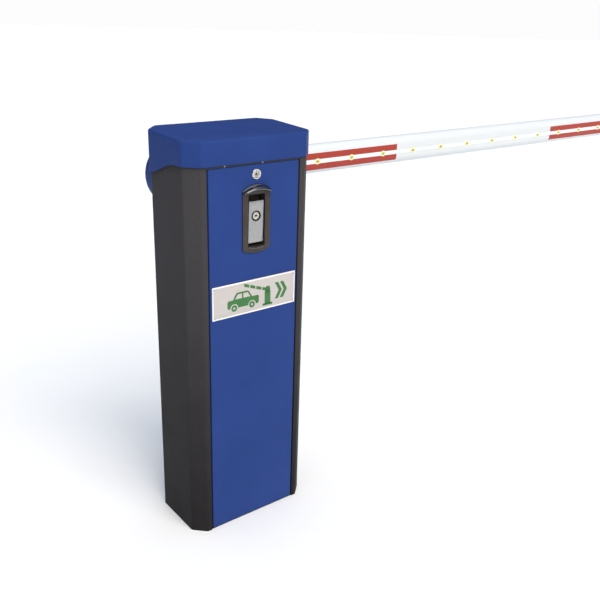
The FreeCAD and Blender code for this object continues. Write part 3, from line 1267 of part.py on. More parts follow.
PIECES = {
    "cabinet_shell": cabinet_shell,
    "top_rail": top_rail,
    "base_plate": base_plate,
    "door_pivot_pins": door_pivot_pins,
    "earth_stud": earth_stud,
    "rear_mounting_plate": rear_mounting_plate,
    "bearing_bridge": bearing_bridge,
    "rear_bearing": lambda: flange_bearing(PLATE_FRONT, -BEARING_REAR_BOSS),
    "front_bearing": lambda: flange_bearing(BRIDGE_BACK, BEARING_FRONT_BOSS),
    "bearing_bolts": bearing_bolts,
    "gearbox_casing": gearbox_casing,
    "gearbox_cover": gearbox_cover,
    "gearbox_cover_screws": gearbox_cover_screws,
    "motor": motor,
    "motor_fan_cover": motor_fan_cover,
    "run_capacitor": run_capacitor,
    "release_knob": release_knob,
    "stop_buffers": stop_buffers,
    "crank": crank,
    "drive_lever": drive_lever,
    "rod_ends": rod_ends,
    "tie_rod": tie_rod,
    "tie_lock_nuts": tie_lock_nuts,
    "balance_spring": balance_spring,
    "spring_anchor": spring_anchor,
    "limit_cams": limit_cams,
    "switch_bracket": switch_bracket,
    "limit_switches": limit_switches,
    "control_box_base": control_box_base,
    "control_box_cover": control_box_cover,
    "circuit_board": circuit_board,
    "transformer": transformer,
    "cable_glands": cable_glands,
    "main_shaft": main_shaft,
    "hub_flange": hub_flange,
    "hub_bolts": hub_bolts,
    "clamp_plate": clamp_plate,
    "hub_cover": hub_cover,
    "boom_profile": boom_profile,
    "lamp_strip": lamp_strip,
    "lamps": lamps,
    "red_tapes": red_tapes,
    "boom_end_cap": boom_end_cap,
    "door_panel": door_panel,
    "sign_plate": sign_plate,
    "sign_screws": sign_screws,
    "handle_dish": handle_dish,
    "paddle_pin": paddle_pin,
    "handle_paddle": handle_paddle,
    "key_housing": key_housing,
    "key_plug": key_plug,
    "lock_tongue": lock_tongue,
    "latch_case": latch_case,
    "upper_latch_rod": upper_latch_rod,
    "lower_latch_rod": lower_latch_rod,
    "rod_guides": rod_guides,
    "top_lock_body": top_lock_body,
    "top_lock_plug": top_lock_plug,
    "top_lock_cam": top_lock_cam,
    "lid": lid,
}

os.makedirs("parts", exist_ok=True)
for name, make in PIECES.items():
    shape = make()
    if not shape.isValid():
        print("not valid:", name)
    shape.exportStep("parts/" + name + ".step")
    print(name, len(shape.Solids), "solids", round(shape.Volume / 1000.0, 1), "cm3")
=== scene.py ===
import json
import math

import bpy
from mathutils import Matrix, Vector


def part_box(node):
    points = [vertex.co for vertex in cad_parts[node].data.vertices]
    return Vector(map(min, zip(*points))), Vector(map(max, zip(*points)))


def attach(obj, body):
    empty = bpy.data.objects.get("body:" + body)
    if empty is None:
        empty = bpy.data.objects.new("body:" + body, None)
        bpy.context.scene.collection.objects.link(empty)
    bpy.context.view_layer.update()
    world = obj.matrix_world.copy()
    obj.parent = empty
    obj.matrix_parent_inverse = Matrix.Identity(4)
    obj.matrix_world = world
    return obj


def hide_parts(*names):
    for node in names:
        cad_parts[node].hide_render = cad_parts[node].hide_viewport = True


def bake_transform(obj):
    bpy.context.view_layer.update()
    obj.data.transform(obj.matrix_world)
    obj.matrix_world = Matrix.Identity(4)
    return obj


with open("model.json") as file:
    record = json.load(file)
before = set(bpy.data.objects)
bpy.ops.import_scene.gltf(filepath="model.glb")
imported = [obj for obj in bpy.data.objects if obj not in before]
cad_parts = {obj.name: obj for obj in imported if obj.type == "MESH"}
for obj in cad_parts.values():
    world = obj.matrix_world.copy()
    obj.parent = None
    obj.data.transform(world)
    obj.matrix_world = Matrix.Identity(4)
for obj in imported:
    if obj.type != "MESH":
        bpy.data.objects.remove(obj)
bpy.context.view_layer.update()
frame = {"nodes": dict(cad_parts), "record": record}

MM = 0.001

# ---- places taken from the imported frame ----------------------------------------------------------

SHELL_LOW, SHELL_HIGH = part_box("cabinet_shell")
LID_LOW, LID_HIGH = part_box("lid")
DOOR_LOW, DOOR_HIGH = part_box("door_panel")
SIGN_LOW, SIGN_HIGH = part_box("sign_plate")
DISH_LOW, DISH_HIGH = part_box("handle_dish")
PADDLE_LOW, PADDLE_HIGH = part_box("handle_paddle")
KEY_LOW, KEY_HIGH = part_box("key_housing")
PLUG_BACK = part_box("key_plug")[1].y
TOP_LOCK_LOW, TOP_LOCK_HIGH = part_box("top_lock_plug")
DRUM_LOW, DRUM_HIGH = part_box("hub_cover")
BOOM_LOW, BOOM_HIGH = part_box("boom_profile")
STRIP_LOW, STRIP_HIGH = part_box("lamp_strip")
TAPES_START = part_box("red_tapes")[0].x
LAMPS_LOW, LAMPS_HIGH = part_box("lamps")
CAP_LOW, CAP_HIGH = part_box("boom_end_cap")
SHAFT_LOW, SHAFT_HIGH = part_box("main_shaft")
SPRING_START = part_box("balance_spring")[0].y

FRONT = SHELL_LOW.y
SHAFT = (SHAFT_LOW + SHAFT_HIGH) / 2
BOOM_MID = (BOOM_LOW + BOOM_HIGH) / 2
LAMP_Z = (STRIP_LOW.z + STRIP_HIGH.z) / 2
TOP_LOCK = (TOP_LOCK_LOW + TOP_LOCK_HIGH) / 2

# ---- materials -----------------------------------------------------------------------------------


def tint(code):
    """An sRGB hex colour as linear RGBA."""
    channels = []
    for start in (0, 2, 4):
        value = int(code[start:start + 2], 16) / 255
        channels.append(value / 12.92 if value <= 0.04045 else ((value + 0.055) / 1.055) ** 2.4)
    return (*channels, 1.0)


def feed(node, **inputs):
    """Set a node's inputs: a plain value stays on the socket, a node or an output is linked to it."""
    for key, value in inputs.items():
        socket = node.inputs[int(key[6:]) if key.startswith("input_") else key.replace("_", " ")]
        if isinstance(value, bpy.types.Node):
            value = value.outputs[0]
        if isinstance(value, bpy.types.NodeSocket):
            node.id_data.links.new(value, socket)
        else:
            socket.default_value = value


def add(tree, kind, settings=None, stops=(), **inputs):
    """Add a node with its settings, its colour stops (place, hex colour) and its inputs."""
    node = tree.nodes.new(kind)
    for key, value in (settings or {}).items():
        setattr(node, key, value)
    for index, (at, code) in enumerate(stops):
        elements = node.color_ramp.elements
        stop = elements[index] if index < 2 else elements.new(at)
        stop.position = at
        stop.color = tint(code)
    feed(node, **inputs)
    return node


def finish(name, **constants):
    """A new material with its shader's plain settings; also returns its tree, shader and coordinates."""
    made = bpy.data.materials.new(name)
    made.use_nodes = True
    tree = made.node_tree
    shader = tree.nodes["Principled BSDF"]
    feed(shader, **constants)
    return made, tree, shader, add(tree, "ShaderNodeTexCoord").outputs["Object"]


def mottled(name, dark, light, patch, rough, grain=None, depth=0.0, stretch=(1, 1, 1), **constants):
    """Whole finish of a plain surface: two close shades in patches of a size in mm, roughness that wanders
    between two values, and a relief of a grain and a depth in mm, drawn out along an axis by stretch."""
    made, tree, shader, place = finish(name, **constants)
    held = add(tree, "ShaderNodeMapping", Vector=place, Scale=stretch)
    cloud = add(tree, "ShaderNodeTexNoise", Vector=held, Scale=1 / (patch * MM), Detail=3.0)
    wander = add(tree, "ShaderNodeTexNoise", Vector=held, Scale=2 / (patch * MM), Detail=3.0)
    shade = add(tree, "ShaderNodeValToRGB", stops=((0.3, dark), (0.7, light)), Fac=cloud)
    feed(shader, Base_Color=shade,
         Roughness=add(tree, "ShaderNodeMapRange", Value=wander, To_Min=rough[0], To_Max=rough[1]))
    if grain:
        bumps = add(tree, "ShaderNodeTexNoise", Vector=held, Scale=1 / (grain * MM), Detail=2.0)
        feed(shader, Normal=add(tree, "ShaderNodeBump", Height=bumps, Distance=depth * MM))
    return made


def polyester_powder_blue():
    """Smooth polyester powder coat: an even, nearly matt blue with a faint orange peel 4 mm across."""
    made, tree, shader, place = finish("polyester_powder_blue", IOR=1.5, Specular_IOR_Level=0.025)
    cloud = add(tree, "ShaderNodeTexNoise", Vector=place, Scale=1 / (160 * MM), Detail=3.0)
    smudge = add(tree, "ShaderNodeTexNoise", Vector=place, Scale=1 / (50 * MM), Detail=4.0)
    peel = add(tree, "ShaderNodeTexNoise", Vector=place, Scale=1 / (4 * MM), Detail=1.0)
    feed(shader,
         Base_Color=add(tree, "ShaderNodeValToRGB", stops=((0.3, "293F7A"), (0.7, "2C4381")), Fac=cloud),
         Roughness=add(tree, "ShaderNodeMapRange", Value=smudge, To_Min=0.34, To_Max=0.46),
         Normal=add(tree, "ShaderNodeBump", Height=peel, Distance=0.06 * MM))
    return made


def fine_texture_powder_anthracite():
    """Fine-texture powder coat: dry dark grey in grains 1.1 mm across, with painted shade darkening it
    towards the ground.
    """
    made, tree, shader, place = finish("fine_texture_powder_anthracite", IOR=1.5, Specular_IOR_Level=0.03)
    grain = add(tree, "ShaderNodeTexNoise", Vector=place, Scale=1 / (1.1 * MM), Detail=2.0)
    spots = add(tree, "ShaderNodeTexNoise", Vector=place, Scale=1 / (4 * MM), Detail=4.0)
    shade_edge_noise = add(tree, "ShaderNodeTexNoise", Vector=place, Scale=1 / (80 * MM), Detail=4.0)
    patch = add(tree, "ShaderNodeTexNoise", Vector=place, Scale=1 / (70 * MM), Detail=4.0)
    coat_grey = add(tree, "ShaderNodeValToRGB", stops=((0.35, "3B3A3D"), (0.68, "474649")), Fac=grain)
    painted_shade_grey = add(tree, "ShaderNodeValToRGB", stops=((0.4, "212023"), (0.75, "2D2B2A")), Fac=spots)
    # painted shade: by height the grey blends into a darker grey, strongest at the ground, with a ragged
    # upper edge
    height = add(tree, "ShaderNodeSeparateXYZ", Vector=place).outputs["Z"]
    ragged = add(tree, "ShaderNodeMath", {"operation": "MULTIPLY_ADD"},
                 input_0=shade_edge_noise, input_1=0.25, input_2=height)
    share = add(tree, "ShaderNodeMapRange", {"interpolation_type": "SMOOTHSTEP"}, Value=ragged,
                From_Min=0.05, From_Max=1.05, To_Min=0.95, To_Max=0.0)
    film = add(tree, "ShaderNodeMix", {"data_type": "RGBA"}, input_0=share, input_6=coat_grey, input_7=painted_shade_grey)
    feed(shader, Base_Color=film.outputs[2],
         Roughness=add(tree, "ShaderNodeMapRange", Value=patch, To_Min=0.46, To_Max=0.62),
         Normal=add(tree, "ShaderNodeBump", Height=grain, Distance=0.18 * MM))
    return made


def prismatic_red_sheeting():
    """Prismatic reflective sheeting: clear top film over red cells 4.2 mm wide with paler seams."""
    made, tree, shader, place = finish("prismatic_red_sheeting", IOR=1.5, Roughness=0.4,
                                       Specular_IOR_Level=0.25, Coat_Weight=0.1)
    cells = add(tree, "ShaderNodeTexVoronoi", {"feature": "DISTANCE_TO_EDGE"}, Vector=place,
                Scale=1 / (4.2 * MM), Randomness=0.0)
    colour = add(tree, "ShaderNodeValToRGB", Fac=cells,
                 stops=((0.02, "B05345"), (0.4, "9B281E"), (0.07, "A43729")))
    feed(shader, Base_Color=colour, Normal=add(tree, "ShaderNodeBump", Height=cells, Distance=0.1 * MM))
    return made


BAND_SPACING = 0.314        # metres between a wave texture's bands at a scale of 1


def circuit_lacquer():
    """Green solder resist with the copper runs showing through as paler tracks 5 mm apart."""
    made, tree, shader, place = finish("circuit_lacquer", IOR=1.5, Roughness=0.3)
    tracks = add(tree, "ShaderNodeTexWave", {"bands_direction": "X"}, Vector=place,
                 Scale=BAND_SPACING / (5 * MM), Distortion=2.0)
    feed(shader, Base_Color=add(tree, "ShaderNodeValToRGB", stops=((0.55, "16552D"), (0.75, "2A7A45")),
                                Fac=tracks.outputs["Fac"]))
    return made


BLUE = polyester_powder_blue()
ANTHRACITE = fine_texture_powder_anthracite()
RED_TAPE = prismatic_red_sheeting()
CIRCUIT = circuit_lacquer()
# stoved enamel on an extrusion: even satin white with die lines 2.5 mm apart running along the boom
ENAMEL = mottled("stoved_white_enamel", "D4D9DD", "DBE0E3", 90, (0.3, 0.42), 2.5, 0.03, (0.01, 1, 1),
                 IOR=1.5, Specular_IOR_Level=0.08)
# zinc-plated sheet steel: cool grey metal clouded by the plating bath
ZINC = mottled("satin_zinc_plate", "A2A09B", "B9B8B2", 30, (0.34, 0.52), 1.6, 0.02, Metallic=1.0)
# bright zinc on small screws: clearer and paler than the sheet
FASTENER = mottled("bright_zinc_fasteners", "AEADA9", "C9C8C4", 30, (0.3, 0.46), 1.6, 0.01, Metallic=1.0)
# satin-brushed stainless steel: hairlines 0.5 mm apart run up the paddle
STAINLESS = mottled("brushed_stainless", "A2A2A2", "BBBBBA", 0.5, (0.3, 0.46), 0.5, 0.02, (1, 1, 0.02),
                    Metallic=1.0, Anisotropic=0.5)
# chrome plate on a die-cast lock: mirror-bright with fine handling marks
CHROME = mottled("polished_chrome", "C6C4BE", "DAD8D3", 3, (0.08, 0.2), Metallic=1.0)
# satin nickel on the lock plugs: warm, softer than the chrome round them
NICKEL = mottled("satin_nickel", "C9C3B4", "DAD5C8", 3, (0.26, 0.4), Metallic=1.0)
# moulded black polyamide: warm near-black with a fine spark-eroded texture
BLACK = mottled("textured_black_polyamide", "2E2824", "393230", 20, (0.38, 0.52), 0.9, 0.06,
                IOR=1.52, Specular_IOR_Level=0.4)
# polished black polyamide on the hood: deep black that mirrors the light along its beads
GLOSS_BLACK = mottled("gloss_black_polyamide", "131314", "1A1A1B", 20, (0.13, 0.2), IOR=1.53,
                      Specular_IOR_Level=1.0, Coat_Weight=1.0, Coat_Roughness=0.08)
# lacquered aluminium sheet: warm off-white with a whisper of rolled grain
SIGN = mottled("coated_sign_aluminium", "B8B3B1", "C0BCBA", 1.2, (0.34, 0.46), stretch=(0.03, 1, 1),
               IOR=1.5)
# screen-printed white border
BORDER = mottled("white_sign_border", "E6E7E8", "EEEEEE", 20, (0.3, 0.38), IOR=1.5)
# cast vinyl film: even leaf green with a faint skin of its own
GREEN = mottled("green_vinyl", "2C6B31", "357337", 12, (0.3, 0.38), 2, 0.02, IOR=1.5)
# sand casting under machine enamel: a soft pebbled skin 3 mm across
CASTING = mottled("painted_casting", "3E454C", "4C545C", 50, (0.4, 0.52), 3, 0.25, IOR=1.5)
# bare die-cast aluminium: pale grey, slightly pebbled
BARE_CAST = mottled("bare_aluminium_casting", "86888A", "9A9C9E", 50, (0.4, 0.52), 3, 0.2, Metallic=0.85)
# turned and ground steel: bright, with cutter lines 0.6 mm apart round the shaft
STEEL = mottled("machined_steel", "A8A7A4", "C2C1BE", 0.6, (0.24, 0.34), 0.6, 0.02, (0.08, 1, 0.08),
                Metallic=1.0)
# oil-blackened spring wire: dark, slightly greasy steel
SPRING = mottled("oil_black_spring_steel", "2C2D30", "45464A", 10, (0.28, 0.4), Metallic=0.8)
# moulded rubber: dull black with dusty patches
RUBBER = mottled("moulded_rubber", "1D1D1E", "2C2C2C", 12, (0.7, 0.85), 1.2, 0.06, IOR=1.5)
# moulded light grey ABS of the control box and the capacitor can
GREY_ABS = mottled("light_grey_abs", "A5A7A6", "B1B3B2", 40, (0.38, 0.46), 1.2, 0.05, IOR=1.54)
# glossy moulded red plastic of the release knob
KNOB = mottled("red_knob_plastic", "B0211A", "BE2A20", 10, (0.2, 0.3), IOR=1.54)
# frosted acrylic strip behind the lamps: milky white with a soft sheen
DIFFUSER = mottled("frosted_diffuser", "EEF1F3", "F6F8F9", 30, (0.3, 0.4), 1.5, 0.04,
                   IOR=1.49, Subsurface_Weight=0.2)
# pale moulded acrylic lens round each lamp, slightly yellow
CREAM = mottled("cream_lens", "EBE9B6", "F1EFC6", 4, (0.15, 0.22), IOR=1.49)
# clear amber resin of the light-emitting diode
AMBER = mottled("amber_resin", "A79C36", "BBAE48", 2, (0.1, 0.16), IOR=1.5, Coat_Weight=0.3)
# dead-black plastic used as painted shade: the keyway's floor for the shade in the slot, the quarter-turn
# lock's triangle for a shaded recess, and the collar round the key for the shadowed gap round the plug
SHADE_BLACK = mottled("painted_shade_black", "0B0B0B", "151413", 2, (0.6, 0.75), IOR=1.5, Specular_IOR_Level=0.2)
# matt seamless paper under the gate
PAPER = mottled("studio_floor_paper", "F8F8F8", "FBFBFB", 500, (0.85, 0.95), IOR=1.45)

BY_SLOT = {
    "blue_paint": BLUE, "anthracite_paint": ANTHRACITE, "zinc_steel": ZINC, "bright_steel": STEEL,
    "plated_fasteners": FASTENER, "cast_iron": CASTING, "cast_aluminium": BARE_CAST,
    "motor_steel": CASTING, "black_plastic": BLACK, "grey_plastic": GREY_ABS, "red_plastic": KNOB,
    "circuit_green": CIRCUIT, "transformer_iron": CASTING, "spring_steel": SPRING, "rubber": RUBBER,
    "white_paint": ENAMEL, "frosted_strip": DIFFUSER, "amber_lens": AMBER, "red_reflective": RED_TAPE,
    "sign_metal": SIGN, "paddle_metal": STAINLESS, "lock_chrome": CHROME,
}

for part in frame["record"]["subparts"]:
    node_object = frame["nodes"][part["node"]]
    node_object.data.materials.clear()
    node_object.data.materials.append(BY_SLOT[part["material_slot"]])

# ---- modelling helpers ---------------------------------------------------------------------------

ALIGNED = 0.99              # an edge whose direction is this close to an axis runs along it
FACING = 0.9                # the same for a face's normal
NEAR = 0.1 * MM             # places no further apart than this are the same place
PAST = 10 * MM              # how far a cutter reaches past what it cuts
HAIR = 0.01 * MM            # gap that keeps a piece's back off the face behind it


def alone(piece):
    """Make one piece the only selected object, in object mode."""
    if bpy.context.mode != "OBJECT":
        bpy.ops.object.mode_set(mode="OBJECT")
    bpy.ops.object.select_all(action="DESELECT")
    piece.select_set(True)
    bpy.context.view_layer.objects.active = piece


def settle(name):
    """Name the new active piece and put its place into its mesh."""
    piece = bpy.context.active_object
    piece.name = name
    piece.data.name = name
    bpy.ops.object.transform_apply(location=True, rotation=True, scale=True)
    return piece


def block(name, low, high):
    """A cuboid between two corners."""
    bpy.ops.object.select_all(action="DESELECT")
    low, high = Vector(low), Vector(high)
    bpy.ops.mesh.primitive_cube_add(size=1, location=(low + high) / 2, scale=high - low)
    return settle(name)


def round_bar(name, radius, low_y, high_y, x, z, sides=64):
    """A cylinder along Y."""
    bpy.ops.object.select_all(action="DESELECT")
    bpy.ops.mesh.primitive_cylinder_add(vertices=sides, radius=radius, depth=high_y - low_y,
                                        location=(x, (low_y + high_y) / 2, z), rotation=(math.pi / 2, 0, 0))
    return settle(name)


def pick(piece, kind, test):
    """Enter edit mode with only the FACE, EDGE or VERT elements that pass the test selected."""
    alone(piece)
    mesh = piece.data
    bpy.ops.object.mode_set(mode="EDIT")
    bpy.ops.mesh.select_mode(type=kind)
    bpy.ops.mesh.select_all(action="DESELECT")
    bpy.ops.object.mode_set(mode="OBJECT")
    if kind == "FACE":
        for face in mesh.polygons:
            face.select = test(face.center, face.normal)
    elif kind == "EDGE":
        for edge in mesh.edges:
            start, end = (mesh.vertices[index].co for index in edge.vertices)
            edge.select = test((start + end) / 2, (end - start).normalized())
    else:
        for vertex in mesh.vertices:
            vertex.select = test(vertex.co)
    bpy.ops.object.mode_set(mode="EDIT")


def done(piece):
    """Leave edit mode."""
    bpy.ops.object.mode_set(mode="OBJECT")
    return piece


def round_edges(piece, width, segments, test):
    """Bevel the edges that pass the test."""
    pick(piece, "EDGE", test)
    bpy.ops.mesh.bevel(offset=width, segments=segments, affect="EDGES")
    return done(piece)


def open_up(piece, test):
    """Delete the faces that pass the test."""
    pick(piece, "FACE", test)
    bpy.ops.mesh.delete(type="FACE")
    return done(piece)


def whole(piece):
    """Enter edit mode with all of a piece selected."""
    alone(piece)
    bpy.ops.object.mode_set(mode="EDIT")
    bpy.ops.mesh.select_all(action="SELECT")


def slice_at(piece, point, normal, clear_outer=False, clear_inner=False, fill=False):
    """Cut a whole piece with a plane."""
    whole(piece)
    bpy.ops.mesh.bisect(plane_co=point, plane_no=normal, clear_outer=clear_outer,
                        clear_inner=clear_inner, use_fill=fill)
    return done(piece)


def modify(piece, kind, **settings):
    """Add a modifier, set it and apply it."""
    alone(piece)
    made = piece.modifiers.new(kind.lower(), kind)
    for key, value in settings.items():
        setattr(made, key, value)
    bpy.ops.object.modifier_apply(modifier=made.name)
    return piece


def carve(piece, cutter, operation="DIFFERENCE"):
    """Boolean with another piece, which is used up."""
    modify(piece, "BOOLEAN", operation=operation, object=cutter, solver="EXACT")
    bpy.data.objects.remove(cutter)
    return piece


def soften(piece, width, segments=3, angle=30):
    """Round every edge sharper than an angle."""
    return modify(piece, "BEVEL", width=width, segments=segments, limit_method="ANGLE",
                  angle_limit=math.radians(angle), harden_normals=False)


def smooth(piece, angle=35):
    """Shade smooth, with creases at the edges sharper than an angle."""
    alone(piece)
    bpy.ops.object.shade_smooth_by_angle(angle=math.radians(angle))
    return piece


def dress(piece, material, body, slot, *replaced):
    """Give a finished piece its material, the body it rides on and the nodes it stands for; its slot is not
    used.
    """
    piece.data.materials.clear()
    piece.data.materials.append(material)
    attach(piece, body)
    if replaced:
        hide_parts(*replaced)
    return piece


def join(pieces, name):
    """Join pieces into the first one."""
    alone(pieces[0])
    for piece in pieces:
        piece.select_set(True)
    bpy.ops.object.join()
    joined = bpy.context.active_object
    joined.name = name
    joined.data.name = name
    return joined


def copy_at(piece, offset):
    """A moved copy with its own mesh."""
    twin = piece.copy()
    twin.data = piece.data.copy()
    twin.data.transform(Matrix.Translation(offset))
    bpy.context.scene.collection.objects.link(twin)
    return twin


def loft(name, sections):
    """Closed skin through rings of points, made with an extruded ring of edges."""
    count = len(sections[0])
    bpy.ops.mesh.primitive_circle_add(vertices=count, radius=1 * MM)
    piece = settle(name)
    mesh = piece.data
    for index, point in enumerate(sections[0]):
        mesh.vertices[index].co = point
    for ring in sections[1:]:
        alone(piece)
        start = len(mesh.vertices) - count
        bpy.ops.object.mode_set(mode="EDIT")
        bpy.ops.mesh.select_mode(type="VERT")
        bpy.ops.mesh.select_all(action="DESELECT")
        bpy.ops.object.mode_set(mode="OBJECT")
        for vertex in mesh.vertices:
            vertex.select = vertex.index >= start
        for edge in mesh.edges:
            edge.select = all(index >= start for index in edge.vertices)
        bpy.ops.object.mode_set(mode="EDIT")
        bpy.ops.mesh.extrude_edges_move()
        bpy.ops.object.mode_set(mode="OBJECT")
        for index, point in enumerate(ring):
            mesh.vertices[len(mesh.vertices) - count + index].co = point
    alone(piece)
    bpy.ops.object.mode_set(mode="EDIT")
    bpy.ops.mesh.select_all(action="DESELECT")
    bpy.ops.mesh.select_mode(type="EDGE")
    bpy.ops.mesh.select_non_manifold()
    bpy.ops.mesh.edge_face_add()
    bpy.ops.mesh.select_all(action="SELECT")
    bpy.ops.mesh.normals_make_consistent(inside=False)
    return done(piece)


def upright(_, way):
    """An edge runs up and down."""
    return abs(way.z) > ALIGNED


def inward(_, way):
    """An edge runs from front to back."""
    return abs(way.y) > ALIGNED


# ---- cabinet column ------------------------------------------------------------------------------

CORNER = 32 * MM            # leg of the column's cut corners
COLUMN_FOLD = 3.5 * MM      # outer radius of its folds
OPENING = 134.5 * MM        # half the width of the door's opening
RETURN = 19.5 * MM          # depth of the opening's folded edges
SHEET = 2 * MM
SHAFT_HOLE = 30 * MM        # radius of the main shaft's hole through the back
SILL_FRONT = 2.6 * MM       # from the column's front face back to the sill
SILL_BACK = 23.5 * MM
SILL_THICK = 2.5 * MM
RAIL_SCREWS = (-86 * MM, 21 * MM)
RAIL_SCREW_Z = 988.6 * MM


def column_skin():
    """Folded steel column: cut corners with small bend radii, open front with inward returns."""
    piece = block("column_skin", SHELL_LOW, SHELL_HIGH)
    round_edges(piece, CORNER, 1, upright)
    open_up(piece, lambda at, normal: abs(normal.z) > FACING)
    round_edges(piece, COLUMN_FOLD, 4, upright)
    for side in (-1, 1):
        slice_at(piece, (side * OPENING, 0, 0), (1, 0, 0))
    open_up(piece, lambda at, normal: at.y < FRONT + SHEET and abs(at.x) < OPENING)
    pick(piece, "EDGE", lambda at, way: upright(at, way) and abs(abs(at.x) - OPENING) < NEAR and at.y < 0)
    bpy.ops.mesh.extrude_edges_move(TRANSFORM_OT_translate={"value": (0, RETURN + SHEET, 0)})
    done(piece)
    modify(piece, "SOLIDIFY", thickness=SHEET, offset=-1.0)
    carve(piece, round_bar("hole", SHAFT_HOLE, SHELL_HIGH.y - PAST / 2, SHELL_HIGH.y + PAST / 2,
                           SHAFT.x, SHAFT.z))
    soften(piece, 0.4 * MM, 2, 50)
    return dress(smooth(piece), ANTHRACITE, "cabinet", "anthracite_paint", "cabinet_shell")


def sill():
    """Bottom member between the opening's returns."""
    piece = block("sill", (-OPENING, FRONT + SILL_FRONT, 0), (OPENING, FRONT + SILL_BACK, SILL_THICK))
    return dress(smooth(soften(piece, 0.5 * MM)), ANTHRACITE, "cabinet", "anthracite_paint")


def rail_screws():
    """Small countersunk screws along the rail above the door."""
    radius, proud, sunk = 1.9 * MM, 0.8 * MM, 0.6 * MM
    heads = []
    for x in RAIL_SCREWS:
        head = round_bar("rail_screw", radius, FRONT - proud, FRONT + sunk, x, RAIL_SCREW_Z, 24)
        heads.append(soften(head, 0.5 * MM, 3))
    return dress(smooth(join(heads, "rail_screws")), FASTENER, "cabinet", "plated_fasteners")


# ---- lid -----------------------------------------------------------------------------------------

LID_FRONT_Z = 991 * MM      # lower edge of the lid at the front
LID_FALL = 9 * MM           # the roof is this much lower at the front
LID_CORNER = 34.5 * MM      # leg of its cut corners
LID_FOLD = 5 * MM           # radius between its sides
LID_EDGE = 6 * MM           # radius round its roof
LID_WALL = 2.5 * MM
WAVE_BACK = 80 * MM         # y where the wave in the side skirts begins
WAVE_FRONT = -50 * MM       # y where it ends


def wave_height(y):
    """Lower edge of the lid: low at the back, rising in a smooth wave to the front."""
    share = min(max((WAVE_BACK - y) / (WAVE_BACK - WAVE_FRONT), 0), 1)
    return LID_LOW.z + (LID_FRONT_Z - LID_LOW.z) * share * share * (3 - 2 * share)


def lid_cover():
    """Pressed lid: octagonal, with a rounded roof edge, a fall to the front and wavy side skirts."""
    piece = block("lid_cover", LID_LOW, LID_HIGH)
    round_edges(piece, LID_CORNER, 1, upright)
    open_up(piece, lambda at, normal: normal.z < -FACING)
    round_edges(piece, LID_FOLD, 4, upright)
    tilt = Vector((0, -LID_FALL, LID_HIGH.y - LID_LOW.y))
    slice_at(piece, (0, LID_HIGH.y, LID_HIGH.z), tilt, clear_outer=True, fill=True)
    eaves = LID_HIGH.z - LID_FALL - NEAR
    round_edges(piece, LID_EDGE, 5, lambda at, way: at.z > eaves and abs(way.z) < 0.3)
    steps = 16
    for step in range(steps + 1):
        y = WAVE_FRONT + (WAVE_BACK - WAVE_FRONT) * step / steps
        slice_at(piece, (0, y, 0), (0, 1, 0))
    foot = LID_LOW.z + NEAR
    rows = sorted({round(vertex.co.y, 5) for vertex in piece.data.vertices if vertex.co.z < foot})
    for row in rows:
        pick(piece, "VERT", lambda at: at.z < foot and abs(at.y - row) < NEAR / 5)
        bpy.ops.transform.translate(value=(0, 0, wave_height(row) - LID_LOW.z))
        done(piece)
    modify(piece, "SOLIDIFY", thickness=LID_WALL, offset=-1.0)
    soften(piece, 0.8 * MM, 3, 50)
    return dress(smooth(piece, 40), BLUE, "lid", "blue_paint", "lid")


# ---- door ----------------------------------------------------------------------------------------

DOOR_FOLD = 2.2 * MM        # radius round the leaf's front edge
HANDLE_X = 2.5 * MM         # middle of the handle
WINDOW_HALF = 24.5 * MM     # half the width of the handle's window
WINDOW_LOW = 783 * MM
WINDOW_HIGH = 914 * MM
DISH_WALL = 2.5 * MM        # wall of the pocket behind the window
LOCK_BARREL = 10 * MM       # radius of the quarter-turn lock's barrel and its hole


def door_skin():
    """Door leaf folded from sheet, with a soft front edge and cut-outs for the handle and lock."""
    piece = block("door_skin", DOOR_LOW, DOOR_HIGH)
    open_up(piece, lambda at, normal: normal.y > FACING)
    round_edges(piece, DOOR_FOLD, 4, lambda at, way: at.y < FRONT + NEAR or inward(at, way))
    modify(piece, "SOLIDIFY", thickness=SHEET, offset=-1.0)
    before, behind = FRONT - PAST, FRONT + PAST / 2
    carve(piece, block("cut", (HANDLE_X - WINDOW_HALF - DISH_WALL, before, WINDOW_LOW - DISH_WALL),
                       (HANDLE_X + WINDOW_HALF + DISH_WALL, behind, WINDOW_HIGH + DISH_WALL)))
    carve(piece, round_bar("cut", LOCK_BARREL, before, behind, TOP_LOCK.x, TOP_LOCK.z))
    return dress(smooth(piece), BLUE, "door", "blue_paint", "door_panel")


# ---- sign ----------------------------------------------------------------------------------------

SIGN_MID = (SIGN_LOW + SIGN_HIGH) / 2
VINYL = 0.3                 # millimetres that the film stands out
CUT = 3                     # millimetres that a cutter through the film reaches each way


def sign_sheet():
    """Sign sheet with a softly rolled edge."""
    piece = block("sign_sheet", SIGN_LOW, SIGN_HIGH)
    round_edges(piece, 1.5 * MM, 4, inward)
    soften(piece, 0.35 * MM, 2, 50)
    return dress(smooth(piece), SIGN, "door", "sign_metal", "sign_plate")


def sign_border():
    """Raised white border line round the sheet."""
    margin, thick = 0.5 * MM, 0.25 * MM
    low = Vector((SIGN_LOW.x + margin, SIGN_LOW.y - thick, SIGN_LOW.z + margin))
    high = Vector((SIGN_HIGH.x - margin, SIGN_LOW.y, SIGN_HIGH.z - margin))
    piece = block("sign_border", low, high)
    band = Vector((3 * MM, 0, 3.5 * MM))
    past = Vector((0, PAST, 0))
    carve(piece, block("cut", low + band - past, high - band + past))
    return dress(smooth(soften(piece, 0.08 * MM, 2)), BORDER, "door", "sign_metal")


def sticker(name, low_x, high_x, low_z, high_z, deep=VINYL):
    """Flat vinyl cut, or a cutter through it, placed in millimetres from the middle of the sign."""
    front, back = SIGN_LOW.y - deep * MM, SIGN_LOW.y + max(deep - VINYL, 0) * MM
    return block(name, (SIGN_MID.x + low_x * MM, front, SIGN_MID.z + low_z * MM),
                 (SIGN_MID.x + high_x * MM, back, SIGN_MID.z + high_z * MM))


